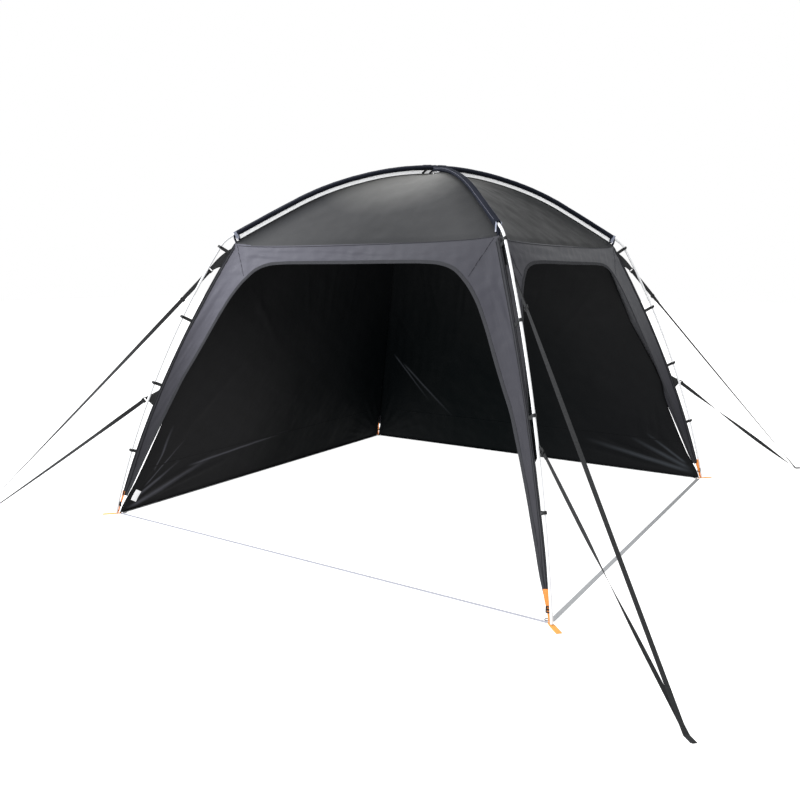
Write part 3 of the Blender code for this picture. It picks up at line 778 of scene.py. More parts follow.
tapes = {
    "bindingWidth": 0.020,
    "bindingThickness": 0.0026,
    "foldWidth": 0.023,
    "foldLift": 0.0022,
    "eaveSeam": (0.019, 0.007),  # how far below the eave, and how much more at its far end
    "seamWidth": 0.0030,
    "seamThickness": 0.0016,
    "dartWidth": 0.0039,
    "dartThickness": 0.0018,
    "lift": 0.0010,
    # seams beside a corner's fold: distance from the tape's edge or from the fold, width and thickness
    "besideTape": (0.003, 0.0060, 0.0022),
    "besideFold": (0.0055, 0.0040, 0.0066),
}


def stripTape(side, lines, w, width, thickness):
    # tape on a side's strip: its line runs through (line, w), its width along the strip's own directions
    w = np.broadcast_to(np.asarray(w, float), lines.shape)
    middle = stripSurface(lines, w, side)
    inside, outside = (stripSurface(lines, np.clip(w + step, 0, 1), side) for step in (-0.02, 0.02))
    along = headings(middle)
    across = unit(squareTo(outside - inside, along))
    outward = unit(np.cross(along, across))
    outward *= np.sign(outward[:, 1:2] + 1e-9)
    profile = sizedProfile(np.broadcast_to(width, len(lines)), thickness)
    return turned(carried(middle + outward * tapes["lift"], across, outward, profile), side)


def archBinding(side):
    # folded tape whose inner edge is the arch's edge, narrower where the wings end
    lines = np.linspace(0, stripCount - 1, 560)
    room = stripWidth(lines)
    width = np.minimum(tapes["bindingWidth"], 0.40 * room)
    return stripTape(side, lines, 0.5 * width / room, width, tapes["bindingThickness"])


def eaveSeam(side):
    # closes in on the eave towards one end
    first = cover["wingLines"] + 0.5
    lines = np.linspace(first, stripCount - 1 - first, 260)
    s = stripEnds(lines)[1][:, 0] / shelter["cornerHalf"]
    w = 1 - (tapes["eaveSeam"][0] + tapes["eaveSeam"][1] * s) / stripWidth(lines)
    return stripTape(side, lines, w, tapes["seamWidth"], tapes["seamThickness"])


def dartSeams(side):
    # slanting seams from the arch's corners up to the eave's corners
    at = cover["wingLines"] - 1 + (1 - cover["dartTop"] / shelter["cornerHalf"]) * cover["eaveLines"]
    w = np.linspace(0.13, 0.93, 60)
    return [stripTape(side, np.full(60, line), w, tapes["dartWidth"], tapes["dartThickness"])
            for line in (at, stripCount - 1 - at)]


def foldRoom(number):
    # width of the tape over a corner's fold: full down the wing, less where it narrows
    return np.minimum(tapes["foldWidth"], 0.42 * stripWidth(number))


def foldTape(turns):
    # both legs follow the cloth of the two sides that meet in the fold
    number = np.linspace(0, cover["wingLines"] - 1.6, 130)
    room, width = stripWidth(number), foldRoom(number)
    last = stripCount - 1
    outer, inner = [], []
    for turn, line, shares in ((turns, last - number, (1.0, 0.5)), ((turns + 3) % 4, number, (0.0, 0.5, 1.0))):
        outward = turned(shelter["sideOut"], turn)
        for share in shares:
            place = turned(stripSurface(line, 1 - share * width / room, turn), turn)
            lift = outward if share else turned(shelter["foldOut"], turns)
            outer.append(place + lift * tapes["foldLift"])
            inner.append(place + lift * 0.0002)
    return np.stack(outer + inner[::-1], axis=1)


def foldSeams(turns):
    # a stitched line along each edge of that tape, and a narrower one beside the fold itself
    number = np.linspace(0.5, cover["wingLines"] - 2, 130)
    bodies = []
    for edge, (away, width, thickness) in ((foldRoom(number), tapes["besideTape"]), (0.0, tapes["besideFold"])):
        w = 1 - (edge + away) / stripWidth(number)
        bodies.append(stripTape(turns, stripCount - 1 - number, w, width, thickness))
        bodies.append(stripTape((turns + 3) % 4, number, w, width, thickness))
    return bodies


def sewn(name, bodies, finish):
    bodiesPiece(name, bodies, finish)


for side, name in enumerate(sides):
    sewn(f"arch_binding_{name}", [archBinding(side)], straps["binding_tape"])
    sewn(f"sewn_lines_{name}", [eaveSeam(side), *dartSeams(side)], straps["soft_thread"])
for corner, turns in corners.items():
    sewn(f"fold_tape_{corner}", [foldTape(turns)], straps["binding_tape"])
    sewn(f"fold_seams_{corner}", foldSeams(turns), straps["seam_thread"])
print("tapes made")


# Walls: dark cloth hung inside the left and back arches

wall = {
    # half width (z, s): to the foot at the ground, showing beside the wing's lower end, hidden behind it above
    "edge": ((0.0, 1.497), (0.05, 1.485), (0.09, 1.467), (0.15, 1.436), (0.20, 1.411), (0.34, 1.357),
             (0.54, 1.287), (0.65, 1.254), (0.76, 1.240), (0.87, 1.195), (1.0, 1.131), (1.2, 1.031),
             (1.712, 0.847)),
    "cornerGap": ((0.0, 0.003), (0.05, 0.007), (0.15, 0.012), (0.195, 0.013), (0.225, 0.0), (1.8, -0.002)),
    "top": 1.712,
    "bottom": 0.0023,
    "behind": 0.0050,  # how far it hangs inside the side's plane
    "slack": 0.0045,
    "waves": ((0.0035, 0.55, 0.8), (0.0014, 0.09, 0.16)),
    "deepest": 0.03,  # of its folds
    "cornerFolds": (7, 12, 19, 27, 36, 47, 60),  # degrees from the ground, of the folds out of the lower corners
    "topFolds": 7,
    "fanFoot": 1.48,  # s of the place they fan out of, and their distances from it
    "fanNear": (0.06, 0.16),
    "fanFar": (0.40, 0.85),
    "fanHeight": 0.0045,
    "topHeight": 0.0035,
    "thickness": 0.0008,
    "tape": 0.0016,
    "seams": ((0.285, 0.010), (0.013, 0.016)),  # height and width of the level tapes
    "endSeam": (0.988, 0.014),  # share of the half width and width of the upright one at the back corner
    "columns": 176,
    "rows": 118,
    "folds": {  # (s, z) of both ends, width, height
        "left": (((-1.47, 0.02), (-1.125, 0.225), 0.016, 0.012), ((-1.42, 0.07), (-0.80, 0.262), 0.018, 0.012),
                 ((-1.43, 0.08), (-1.17, 0.47), 0.016, 0.009), ((-1.36, 0.05), (-0.55, 0.20), 0.020, 0.009),
                 ((-1.30, 0.22), (-1.02, 0.80), 0.020, 0.007), ((-1.22, 0.35), (-0.60, 0.95), 0.024, 0.006),
                 ((-0.40, 0.30), (-0.46, 0.62), 0.016, 0.005), ((0.10, 0.30), (0.02, 0.70), 0.018, 0.005),
                 ((-0.75, 1.50), (-0.30, 1.05), 0.026, 0.006)),
        "back": (((1.47, 0.03), (1.05, 0.225), 0.016, 0.014), ((1.40, 0.06), (0.70, 0.270), 0.018, 0.014),
                 ((1.42, 0.10), (1.10, 0.42), 0.016, 0.009), ((1.36, 0.04), (0.50, 0.16), 0.020, 0.009),
                 ((1.175, 0.60), (1.215, 0.27), 0.012, 0.010), ((1.125, 0.56), (1.150, 0.27), 0.012, 0.008),
                 ((1.05, 0.52), (1.04, 0.28), 0.012, 0.006), ((-1.03, 1.22), (-0.90, 0.98), 0.012, 0.007),
                 ((-1.13, 0.84), (-0.84, 0.42), 0.012, 0.008), ((-1.05, 0.76), (-0.62, 0.29), 0.013, 0.008),
                 ((0.80, 1.45), (0.35, 0.95), 0.026, 0.006), ((0.95, 1.05), (0.55, 0.55), 0.024, 0.006)),
    },
}


def wallEdge(z, joined):
    # from the table at an open end; at the back corner the walls meet on the diagonal, but for a slit at the foot
    out = sidePlane(z) - wall["behind"]
    meeting = out - np.interp(z, *np.array(wall["cornerGap"]).T) * math.sqrt(2)
    return np.where(joined, meeting, np.interp(z, *np.array(wall["edge"]).T))


def wallSurface(u, z, side):
    # between its two edges, behind the side's plane, with folds that push inward only
    left, right = -wallEdge(z, side == "back"), wallEdge(z, side == "left")
    s = left + (right - left) * (u + 1) / 2
    seed = 51 if side == "left" else 61
    slack = wall["slack"] + waves(s, z, wall["waves"], seed)
    for start, stop, width, height in wall["folds"][side]:
        slack = slack + crease(s, z, start, stop, width, height)
    draw = np.random.default_rng(seed + 2)
    for end in (-1, 1):  # smaller folds that fan out of the lower corners
        for angle in wall["cornerFolds"]:
            a = math.radians(angle + draw.uniform(-2, 2))
            near, far = draw.uniform(*wall["fanNear"]), draw.uniform(*wall["fanFar"])
            foot = np.array([end * wall["fanFoot"], 0.0])
            way = np.array([-end * math.cos(a), math.sin(a)])
            width = 0.010 + 0.010 * far
            slack = slack + crease(s, z, foot + way * near, foot + way * far, width, wall["fanHeight"])
    for _ in range(wall["topFolds"]):  # short slanting folds under the top edge
        at = draw.uniform(-0.8, 0.8)
        slack = slack + crease(s, z, (at, 1.66), (at + draw.uniform(-0.2, 0.2), 1.15), 0.02, wall["topHeight"])
    still = np.clip((1 - np.abs(u)) / 0.02, 0.15, 1) * np.clip((wall["top"] - z) / 0.06, 0.1, 1)
    still = still * np.clip(z / 0.05, 0.12, 1)
    return stacked(s, sidePlane(z) - wall["behind"] - np.clip(slack, 0.0, wall["deepest"]) * still, z)


def wallTape(side, u, z, width):
    # tape on the wall's inner face along a line of places
    line = turned(wallSurface(u, z, side) - np.array([0.0, 0.0014, 0.0]), sides[side])
    before, after = (wallSurface(u + step, z + step, side) for step in (-0.001, 0.001))
    across = squareTo(turned(after - before, sides[side]), headings(line))
    return strapRings(line, across, width, wall["tape"], 12)


def wallPiece(side):
    z = wall["bottom"] + (wall["top"] - wall["bottom"]) * np.linspace(0, 1, wall["rows"]) ** 1.15
    z, u = np.meshgrid(z, np.linspace(-1, 1, wall["columns"]), indexing="ij")
    grid = wallSurface(u, z, side)
    piece = gridPiece(f"{side}_wall_cloth", turned(grid, sides[side]), grid[..., (0, 2)], wallCloths[side],
                      thickness=wall["thickness"], offset=1.0)
    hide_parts(f"wall_{side}")
    u = np.linspace(-0.996, 0.996, 280)
    bodies = [wallTape(side, u, np.full(280, height), width) for height, width in wall["seams"]]
    share, width = wall["endSeam"]
    end = np.full(160, -share if side == "back" else share)
    bodies.append(wallTape(side, end, np.linspace(0.24, 1.69, 160), width))
    trims = [bodiesPiece(f"{side}_wall_seams", bodies, wallCloths[side])]


tag = {
    "place": (-1.384, 0.137),  # s and z of its upper edge's middle
    "across": (0.045, -0.026),  # the upper edge from end to end
    "down": (-0.040, -0.062),
    "behind": 0.024,
    "hang": 0.010,
    "curl": 0.003,
    "thickness": 0.0007,
}


def blankTag():
    # small white cloth tag that hangs slightly curled inside the left wall, near its front foot
    across, down = np.meshgrid(np.linspace(-0.5, 0.5, 12), np.linspace(0, 1, 16), indexing="ij")
    s, z = (tag["place"][k] + across * tag["across"][k] + down * tag["down"][k] for k in (0, 1))
    out = sidePlane(z) - tag["behind"] - tag["hang"] * down**2 - tag["curl"] * np.cos(3 * across)
    piece = gridPiece("blank_tag", turned(stacked(s, out, z), sides["left"]), np.stack([across, down], -1) * 0.06,
                      whiteTag, thickness=tag["thickness"])


wallPiece("left")
wallPiece("back")
blankTag()
print("walls made")


# Pole sleeves, the mesh bands under them and the poles

sleeve = {
    # t along the sleeve from the crown and half width there, of the upper and of the lower one
    "halfWidths": (((0.0, 0.027), (1.3155, 0.021)), ((0.0, 0.019), (0.16, 0.0235), (1.3155, 0.0195))),
    "halfHeight": 0.016,
    "thickness": 0.0010,
    "rings": 250,
    "around": 32,
    "cross": 0.026,  # how far the lower sleeve lies below the upper one where they cross
    "pinch": 0.35,  # how much narrower its underside is
    "ripple": 0.022,
    "gathered": 0.009,
    "raised": (0.019, 0.13),  # how far the lower one's underside comes up at the crossing, and over which length
    "crossing": (0.075, 0.0012),  # length over which the lower one rises to the other's top, and how far over it
    "stitchAngle": 0.62,
    "stitch": (0.0022, 0.0012),  # width and thickness
    "ridgeSeam": (0.0042, 0.0016),
    "seamSide": 0.0022,
    "seamLift": 0.0008,
}
band = {
    "start": 0.012,
    "shortOfCorner": 0.024,
    "lowerEnd": 1.02,  # beyond it the lower sleeve's own cloth closes the gap
    "intoSleeve": 0.93,  # share of the sleeve's half height where the band ends, below its centre line
    "skirtThickness": 0.0024,
    "lean": 0.0018,
    "thickness": 0.0018,
    "flats": ((0.026, 1.40), (0.010, 1.02)),  # height and length of the upper and of the lower one
}
pole = {
    "radius": 0.0073,
    "elbowArms": (0.040, 0.030),
    "tip": (2.137, 0.0055),  # r and z where the leg's line ends
    "sideBow": {"front_right": 0.0095},
    "bowTop": 1.80,  # height where that bow ends
}


def sleeveLine(t, low):
    # centre line below the top line, square to its slope; t runs through the crown from corner to corner
    top = np.stack([t, sleeveTop(t, low)], axis=-1)
    run = np.gradient(top, axis=0)
    normals = unit(np.stack([-run[:, 1], run[:, 0]], axis=-1))
    return top - normals * sleeve["halfHeight"], normals


def sleeveHalf(t, low=0.0):
    # narrower towards the ends, where webbing gathers it; the lower sleeve is narrow at the crossing too
    gathered = sleeve["gathered"] * np.clip((np.abs(t) - shelter["cornerReach"]) / 0.014 + 1, 0, 1) ** 2
    return np.interp(np.abs(t), *np.array(sleeve["halfWidths"][low > 0]).T) - gathered


def raisedUnder(t, low):
    # the lower sleeve's underside comes up near the crossing
    height, length = sleeve["raised"]
    return height * np.exp(-((t / length) ** 2)) * (low > 0)


def sleeveShell(t, angle, low, turns, grow=0.0):
    # flattened tube, pinched towards the band, with small cross ripples; the lower one is taller at the crossing
    centre, normals = sleeveLine(t, low)
    ripple = 1 + sleeve["ripple"] * softWaves(t[:, None], angle * 0.02, 0.05, 0.03, 71 + turns)
    under = np.clip(-np.sin(angle), 0, 1)
    across = np.cos(angle) * (sleeveHalf(t, low)[:, None] * ripple * (1 - sleeve["pinch"] * under**2) + grow)
    length, above = sleeve["crossing"]
    crossing = np.exp(-((t[:, None] / length) ** 2)) * (low + above * (low > 0))
    lift = np.sin(angle) * (sleeve["halfHeight"] * ripple + grow) + np.clip(np.sin(angle), 0, 1) * crossing
    lift = lift + under * raisedUnder(t, low)[:, None]
    place = centre[:, None] + normals[:, None] * lift[..., None]
    return cornerAt(turns, place[..., 0], across, place[..., 1])


def sleevePiece(name, nodes, turns, low):
    t = np.linspace(-shelter["cornerReach"], shelter["cornerReach"], sleeve["rings"])
    angle = np.linspace(0, 2 * np.pi, sleeve["around"], endpoint=False)[None, :] + np.pi / 2
    uv = stacked(angle * 0.025, t[:, None], 0.0)[..., :2]
    piece = gridPiece(name, sleeveShell(t, angle, low, turns), uv, sleeveCloth, closed=True)
    tidyMesh(piece, weld=0.000001, sharp=60)
    thicken(piece, sleeve["thickness"])
    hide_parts(*nodes)
    stitches = []
    for way in (sleeve["stitchAngle"], math.pi - sleeve["stitchAngle"]):  # a row of stitching along each side
        line = sleeveShell(t[3:-3], np.full((1, 1), way), low, turns, 0.0004)[:, 0]
        stitches.append(strapRings(line, (0, 0, 1), *sleeve["stitch"], 8))
    bodiesPiece(f"{name}_stitching", stitches, straps["pale_thread"])


def bandPiece(corner, turns, low):
    # upright strip from the roof's ridge to the sleeve, leaning slightly to and fro along its length
    last = shelter["cornerReach"] - band["shortOfCorner"]
    end = band["lowerEnd"] if low else last
    r = np.linspace(band["start"], last, 160)
    centre, normals = sleeveLine(r, low)
    foot = np.stack([r, ridgeHeight(r) + 0.0006], axis=-1)
    head = centre - normals * (sleeve["halfHeight"] * band["intoSleeve"] - raisedUnder(r, low))[:, None]
    head[:, 1] = np.maximum(head[:, 1], foot[:, 1] + 0.004)
    if low:
        k = r >= end - 0.004
        skirt = strapRings(inPlane((head[k] + foot[k]) / 2, turns), inPlane(unit(head[k] - foot[k]), turns),
                           np.linalg.norm(head[k] - foot[k], axis=1), band["skirtThickness"], 12)
        bodiesPiece(f"sleeve_skirt_{corner}", [skirt], sleeveCloth)
    edge = inPlane(foot[::2] + (0, sleeve["seamLift"]), turns)
    k = r <= end
    r, foot, head = r[k], foot[k], head[k]
    w = np.linspace(0, 1, 6)[None, :, None]
    line = foot[:, None] + (head - foot)[:, None] * w
    lean = band["lean"] * np.sin(np.pi * w[..., 0]) * softWaves(r[:, None], 0 * w[..., 0], 0.07, 1.0, 81 + turns)
    uv = stacked(r[:, None], w[..., 0] * 0.03, 0.0)[..., :2]
    piece = gridPiece(f"mesh_band_{corner}", cornerAt(turns, line[..., 0], lean, line[..., 1]), uv, bandMesh,
                      thickness=band["thickness"], offset=0.0)
    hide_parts(f"band_{corner}")
    seams = [strapRings(edge + cornerAt(turns, 0.0, side, 0.0), (0, 0, 1), *sleeve["ridgeSeam"], 8)
             for side in (sleeve["seamSide"], -sleeve["seamSide"])]
    sewn(f"ridge_seam_{corner}", seams, straps["seam_thread"])


def roofPole(name, turns, low):
    line, _ = sleeveLine(np.linspace(-shelter["cornerReach"], shelter["cornerReach"], 121), low)
    rings = tubeRings(inPlane(line, turns), cornerAt(turns, 0.0, 1.0, 0.0), pole["radius"])
    piece = bodiesPiece(f"smooth_{name}", [rings], whitePole)
    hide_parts(name)


def legLine(low):
    # out of the roof pole, round the elbow, down the leg to the foot
    arm, _ = sleeveLine(np.linspace(1.2, shelter["cornerReach"], 20), low)
    heading = unit(arm[-1] - arm[-2])
    leg = cubicLine(shelter["legLine"], np.linspace(0, 1, 70))
    down = unit(leg[1] - leg[0])
    begin = arm[-1] + heading * 0.0006
    upper, lower = pole["elbowArms"]
    elbow = cubicLine((begin, begin + heading * upper, leg[0] - down * lower, leg[0]), np.linspace(0, 1, 16))
    return np.concatenate([elbow[:-1], leg, [pole["tip"]]])


def legSide(corner, z):
    # one leg bows a little to the side, most at mid height
    share = np.clip(np.asarray(z, float) / pole["bowTop"], 0, 1)
    return pole["sideBow"].get(corner, 0.0) * np.sin(np.pi * share**1.3) ** 0.7 * (share < 1)


def legPole(corner, turns, low):
    line = legLine(low)
    place = cornerAt(turns, line[:, 0], legSide(corner, line[:, 1]), line[:, 1])
    rings = tubeRings(place, cornerAt(turns, 0.0, 1.0, 0.0), pole["radius"])
    piece = bodiesPiece(f"smooth_leg_{corner}", [rings], whitePole)
    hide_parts(f"leg_{corner}")


def lowOf(turns):
    return sleeve["cross"] * (turns % 2)


sleevePiece("sleeve_skin_upper", ["sleeve_back_right", "sleeve_front_left"], 0, 0.0)
sleevePiece("sleeve_skin_lower", ["sleeve_back_left", "sleeve_front_right"], 1, sleeve["cross"])
for corner, turns in corners.items():
    bandPiece(corner, turns, lowOf(turns))
    legPole(corner, turns, lowOf(turns))
roofPole("roof_pole_back_right_front_left", 0, 0.0)
roofPole("roof_pole_back_left_front_right", 1, sleeve["cross"])
print("sleeves, bands and poles made")


# Clips from the corner folds to the legs

clip = {
    "heights": {"back_right": (1.735, 1.318, 0.900, 0.460), "back_left": (1.722, 1.310, 0.880, 0.460),
                "front_left": (1.722, 1.283, 0.862, 0.425), "front_right": (1.728, 1.331, 0.900, 0.480)},
    "ring": 0.0060,  # wall of the hook that snaps on the pole
    "gap": 0.0003,
    "height": 0.017,
    "mouth": 80.0,  # degrees left open
    "tabWidth": 0.021,
    "tabThickness": 0.0060,
    "sewnInside": 0.004,  # how far the tab's end lies within the fold
    "nose": 0.0060,  # how far the hook's end stands beyond the pole
    "noseSize": (0.015, 0.0120),
}


def clipBodies(corner, turns, height):
    # open ring on the pole, square to it, a short nose, and a tab that is sewn to the fold
    leg = cubicLine(shelter["legLine"], np.linspace(0, 1, 300))
    k = int(np.argmax(leg[:, 1] < height))
    place, heading = leg[k], unit(leg[k] - leg[k - 1])
    inward = np.array([heading[1], -heading[0]])
    aside = float(legSide(corner, place[1]))
    mouth = math.radians(clip["mouth"])
    face = guyHands[corner] * math.pi / 2
    angle = np.linspace(face + mouth / 2, face + 2 * math.pi - mouth / 2, 26)
    middle = pole["radius"] + clip["gap"] + clip["ring"] / 2
    arc = place - inward * np.cos(angle)[:, None] * middle
    arc = cornerAt(turns, arc[:, 0], aside + np.sin(angle) * middle, arc[:, 1])
    up = cornerAt(turns, heading[0], 0.0, heading[1])
    ring = strapRings(arc, up, clip["height"], clip["ring"])
    steps = np.linspace(middle, 0.12, 240)
    line = place + inward * steps[:, None]
    inside = line[:, 0] < foldHalf(line[:, 1]) * math.sqrt(2) - clip["sewnInside"]
    far = steps[int(np.argmax(inside))]
    line = place + inward * np.linspace(middle, far, 12)[:, None]
    line = cornerAt(turns, line[:, 0], aside * np.linspace(1, 0, 12), line[:, 1])
    tab = strapRings(line, up, clip["tabWidth"], clip["tabThickness"])
    line = place - inward * np.linspace(middle, middle + clip["nose"], 8)[:, None]
    return [ring, tab, strapRings(inPlane(line, turns, aside), up, *clip["noseSize"], 12)]


for corner, turns in corners.items():
    bodies = [body for height in clip["heights"][corner] for body in clipBodies(corner, turns, height)]
    sewn(f"pole_clips_{corner}", bodies, blackPlastic)
print("clips made")


# Guys: a sewn patch, a buckle and a taut strap that twists on its way to the ground

guy = {
    "width": 0.025,
    "straightWidth": {"front_right": 0.0200},  # stretched narrower
    "moved": {("front_right", "lower"): 0.007},  # to the side
    "thickness": 0.0016,
    "startSide": 0.0165,  # distance from the diagonal plane at the patch
    "groundSide": 0.11,  # and on the ground
    "tail": 0.045,  # length that lies on the ground
    "start": 0.011,  # how far beyond the patch's tip the strap starts
    "sag": 0.004,
    "doubledAway": 0.0028,
    "buckleAt": 0.012,
    "buckle": (0.029, 0.024, 0.0046),  # width, length and bar
    "slider": (0.028, 0.018, 0.0040),
    "patchBow": 0.010,
    "patchThickness": 0.0022,
    "higherPatch": {("back_right", "upper"): 0.016},  # how much higher its lower edge starts
    "ground": {"front_left": 3.010, "front_right": 3.022, "back_right": 3.055, "back_left": 3.030},
    # heights of the patch's root, r and z of its tip, bow of its upper edge, length of the strap's doubled part,
    # height of the strap's end, and least height of it over the ground
    "upper": {"patch": (1.735, 1.60), "tip": (1.472, 1.583), "bow": 1.3, "doubled": 0.26, "endHeight": 0.0042,
              "above": 0.0023},
    "lower": {"patch": (0.88, 0.66), "tip": (1.915, 0.752), "bow": -1.0, "doubled": 0.05, "endHeight": 0.0014,
              "above": 0.0002},
    # turn of the strap in degrees at shares of its length: 0 stands on edge, 90 lies flat
    "turns": {
        ("front_left", "upper"): (
            (0, 0), (0.19, 12), (0.29, 30), (0.45, 52), (0.61, 62), (0.72, 75), (0.85, 84), (1, 90)),
        ("front_left", "lower"): ((0, 0), (0.12, 5), (0.27, 43), (0.49, 55), (0.71, 72), (0.85, 82), (1, 90)),
        ("front_right", "upper"): ((0, -5), (0.08, 0), (0.22, 30), (0.35, 50), (0.7, 80), (1, 90)),
        ("front_right", "lower"): (
            (0, 3), (0.1, 17), (0.2, 25), (0.35, 25), (0.42, 5), (0.47, -12), (0.52, -30), (0.6, -48),
            (0.66, -67), (0.75, -84), (1, -90)),
        ("back_right", "upper"): ((0, -15), (0.1, 0), (0.16, 42), (0.5, 46), (0.65, 54), (0.85, 60), (1, 90)),
        ("back_right", "lower"): (
            (0, -10), (0.08, 0), (0.18, 40), (0.3, 77), (0.45, 122), (0.58, 150), (0.7, 185), (0.8, 215),
            (0.95, 255), (1, 268)),
        ("back_left", "upper"): ((0, 0), (0.5, 40), (0.8, 75), (1, 90)),
        ("back_left", "lower"): ((0, 0), (0.4, 45), (0.8, 80), (1, 90)),
    },
}


def guyAxes(corner, kind):
    start = np.array(guy[kind]["tip"])
    end = np.array([guy["ground"][corner], guy[kind]["endHeight"]])
    along = unit(end - start)
    return start, end, along, np.array([-along[1], along[0]])


def guyTurn(corner, kind, share):
    return np.radians(np.interp(share, *np.array(guy["turns"][(corner, kind)], float).T))


def guySide(corner, share):
    return guyHands[corner] * guy["startSide"] * (1 - share) + guy["groundSide"] * share


def guyWide(corner, across, turn):
    # the width's direction, turned from across the strap towards the side
    return cornerPlace(across[0] * np.cos(turn), guyHands[corner] * np.sin(turn), across[1] * np.cos(turn))


def guyStrap(corner, turns, kind):
    # straight line from buckle to ground, its first part doubled
    start, end, along, across = guyAxes(corner, kind)
    t = np.concatenate([np.linspace(0, 1, 160), [1.0]])
    line = start + along * guy["start"] + (end - start - along * guy["start"]) * t[:, None]
    line[-1] = end + (guy["tail"], 0.0)
    side = guySide(corner, t) + guy["moved"].get((corner, kind), 0.0)
    turn = np.convolve(np.pad(guyTurn(corner, kind, t), 6, mode="edge"), np.ones(13) / 13, mode="valid")
    place = cornerPlace(line[:, 0], side, line[:, 1] - guy["sag"] * np.sin(np.pi * t))
    wide = guyWide(corner, across, turn)
    width = guy["straightWidth"].get(corner, guy["width"])
    rings = strapRings(turned(place, turns), turned(wide, turns), width, guy["thickness"])
    rings[..., 2] = np.maximum(rings[..., 2], guy[kind]["above"])
    k = t * np.linalg.norm(end - start) < guy[kind]["doubled"]
    normal = unit(np.cross(headings(place[k]), wide[k])) * guy["doubledAway"]
    back = place[k] + normal * np.linspace(1.8, 1.0, k.sum())[:, None]
    double = strapRings(turned(back, turns), turned(wide[k], turns), width * 0.97, guy["thickness"])
    piece = bodiesPiece(f"guy_strap_{kind}_{corner}", [rings, double], straps["dark_strap"])
    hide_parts(f"guy_{kind}_{corner}")


def ladderBodies(origin, along, across, normal, width, length, bar):
    # a buckle's frame of two rails and three cross bars, each a rounded bar
    bodies = []
    for end in (-1, 1):
        line = origin + across * end * (width / 2) + along * np.linspace(-length / 2, length / 2, 8)[:, None]
        bodies.append(strapRings(line, across, bar, bar * 1.5, 12))
    for share in (-0.5, 0.0, 0.5):
        line = origin + along * share * length + across * np.linspace(-width / 2, width / 2, 8)[:, None]
        bodies.append(strapRings(line + normal * (0.0015 if share == 0 else 0.0), along, bar, bar, 12))
    return bodies


def guyBuckle(corner, turns, kind):
    # the fixed buckle on the patch, and on an upper strap the slider where its doubled end stops
    start, end, along, across = guyAxes(corner, kind)
    origin = inPlane(start + along * guy["buckleAt"], turns, guySide(corner, 0.0))
    run, square = inPlane(np.array([along, across]), turns)
    bodies = ladderBodies(origin, run, square, cornerAt(turns, 0.0, guyHands[corner], 0.0), *guy["buckle"])
    if kind == "upper":
        share = guy[kind]["doubled"] / np.linalg.norm(end - start)
        far = start + along * (guy[kind]["doubled"] + 0.006)
        origin = cornerAt(turns, far[0], guySide(corner, share), far[1] - 0.003)
        wide = turned(guyWide(corner, across, guyTurn(corner, kind, share)), turns)
        bodies += ladderBodies(origin, run, wide, unit(np.cross(run, wide)), *guy["slider"])
    bodiesPiece(f"guy_buckle_{kind}_{corner}", bodies, blackPlastic)


def skinRadius(z, side):
    # r of the wing's skin at a sideways distance from the diagonal plane, close to the fold
    half, plane = foldHalf(z), sidePlane(z)
    w = np.linspace(0.5, 1, 60)
    edge = float(np.interp(z, stripInner[:, 2], stripInner[:, 0]))
    s, out = edge + (half - edge) * w, plane + (half - plane) * w ** cover["wingBow"]
    return float(np.interp(side, ((out - s) / math.sqrt(2))[::-1], ((out + s) / math.sqrt(2))[::-1]))


def guyPatch(corner, turns, kind):
    # a tapering tab from the skin to the buckle, carried from its root to its tip
    start, _, _, across = guyAxes(corner, kind)
    high, low = guy[kind]["patch"]
    low += guy["higherPatch"].get((corner, kind), 0.0)
    aside = guyHands[corner] * guy["startSide"]
    roots = [np.array([skinRadius(z, guy["startSide"]) - 0.006, z]) for z in (high, low)]
    tips = [start + across * guy["width"] / 2, start - across * guy["width"] / 2]
    t = np.linspace(0, 1, 30)[:, None]
    bow = guy["patchBow"] * np.sin(np.pi * t)
    top = roots[0] + (tips[0] - roots[0]) * t + across * bow * guy[kind]["bow"]
    bottom = roots[1] + (tips[1] - roots[1]) * t + across * bow * 0.5
    w = np.linspace(0, 1, 14)[None, :, None]
    line = top[:, None] + (bottom - top)[:, None] * w
    swell = 0.0012 * np.sin(np.pi * w[..., 0]) * np.sin(2 * np.pi * t)
    grid = cornerAt(turns, line[..., 0], aside + swell, line[..., 1])
    return gridPiece(f"guy_patch_{kind}_{corner}", grid, line, patchCloth,
                     thickness=guy["patchThickness"], offset=0.0)


for corner, turns in corners.items():
    for kind in ("upper", "lower"):
        guyStrap(corner, turns, kind)
        guyBuckle(corner, turns, kind)
        guyPatch(corner, turns, kind)
print("guys made")


# Feet: orange webbing, ladder buckle, peg tab and ring, and the straps on the ground

foot = {
    # r, z from the wing's tip to the pole's foot, and on the ground from there to the tab's end
    "strap": ((2.0830, 0.150), (2.0930, 0.110), (2.1060, 0.072), (2.1150, 0.045), (2.1220, 0.020),
              (2.1330, 0.0035)),
    "tab": ((2.1100, 0.0015), (2.1350, 0.0018), (2.1700, 0.0016), (2.2220, 0.0015)),
    "strapWidths": ((0, 0.35, 0.65, 1), (0.028, 0.021, 0.015, 0.016)),  # at shares of the strap
    "tabWidths": ((2.11, 2.15, 2.22), (0.020, 0.030, 0.030)),  # at r
    "thickness": 0.002,
    "above": 0.0003,  # least height of webbing over the ground
    "buckle": (2.1080, 0.064),
    "buckleSize": (0.017, 0.028, 0.0052),  # width, length and bar
    "buckleAway": 0.0045,
    "ring": (2.085, 0.004),
    "ringRadius": 0.011,
    "wire": 0.0018,
    "faces": {"back_right": -1, "back_left": 1, "front_left": -1, "front_right": 1},  # way the strap is turned
    "shift": {"back_right": -0.004, "back_left": 0.004, "front_left": -0.004, "front_right": -0.010},
    "frontStrap": (0.019, 0.0016),  # width and thickness; it lies half on its edge, so it looks thinner
    "frontBeyond": 0.022,
    "frontHeight": 0.0012,
}


def onGround(rings):
    rings[..., 2] = np.maximum(rings[..., 2], foot["above"])
    return rings


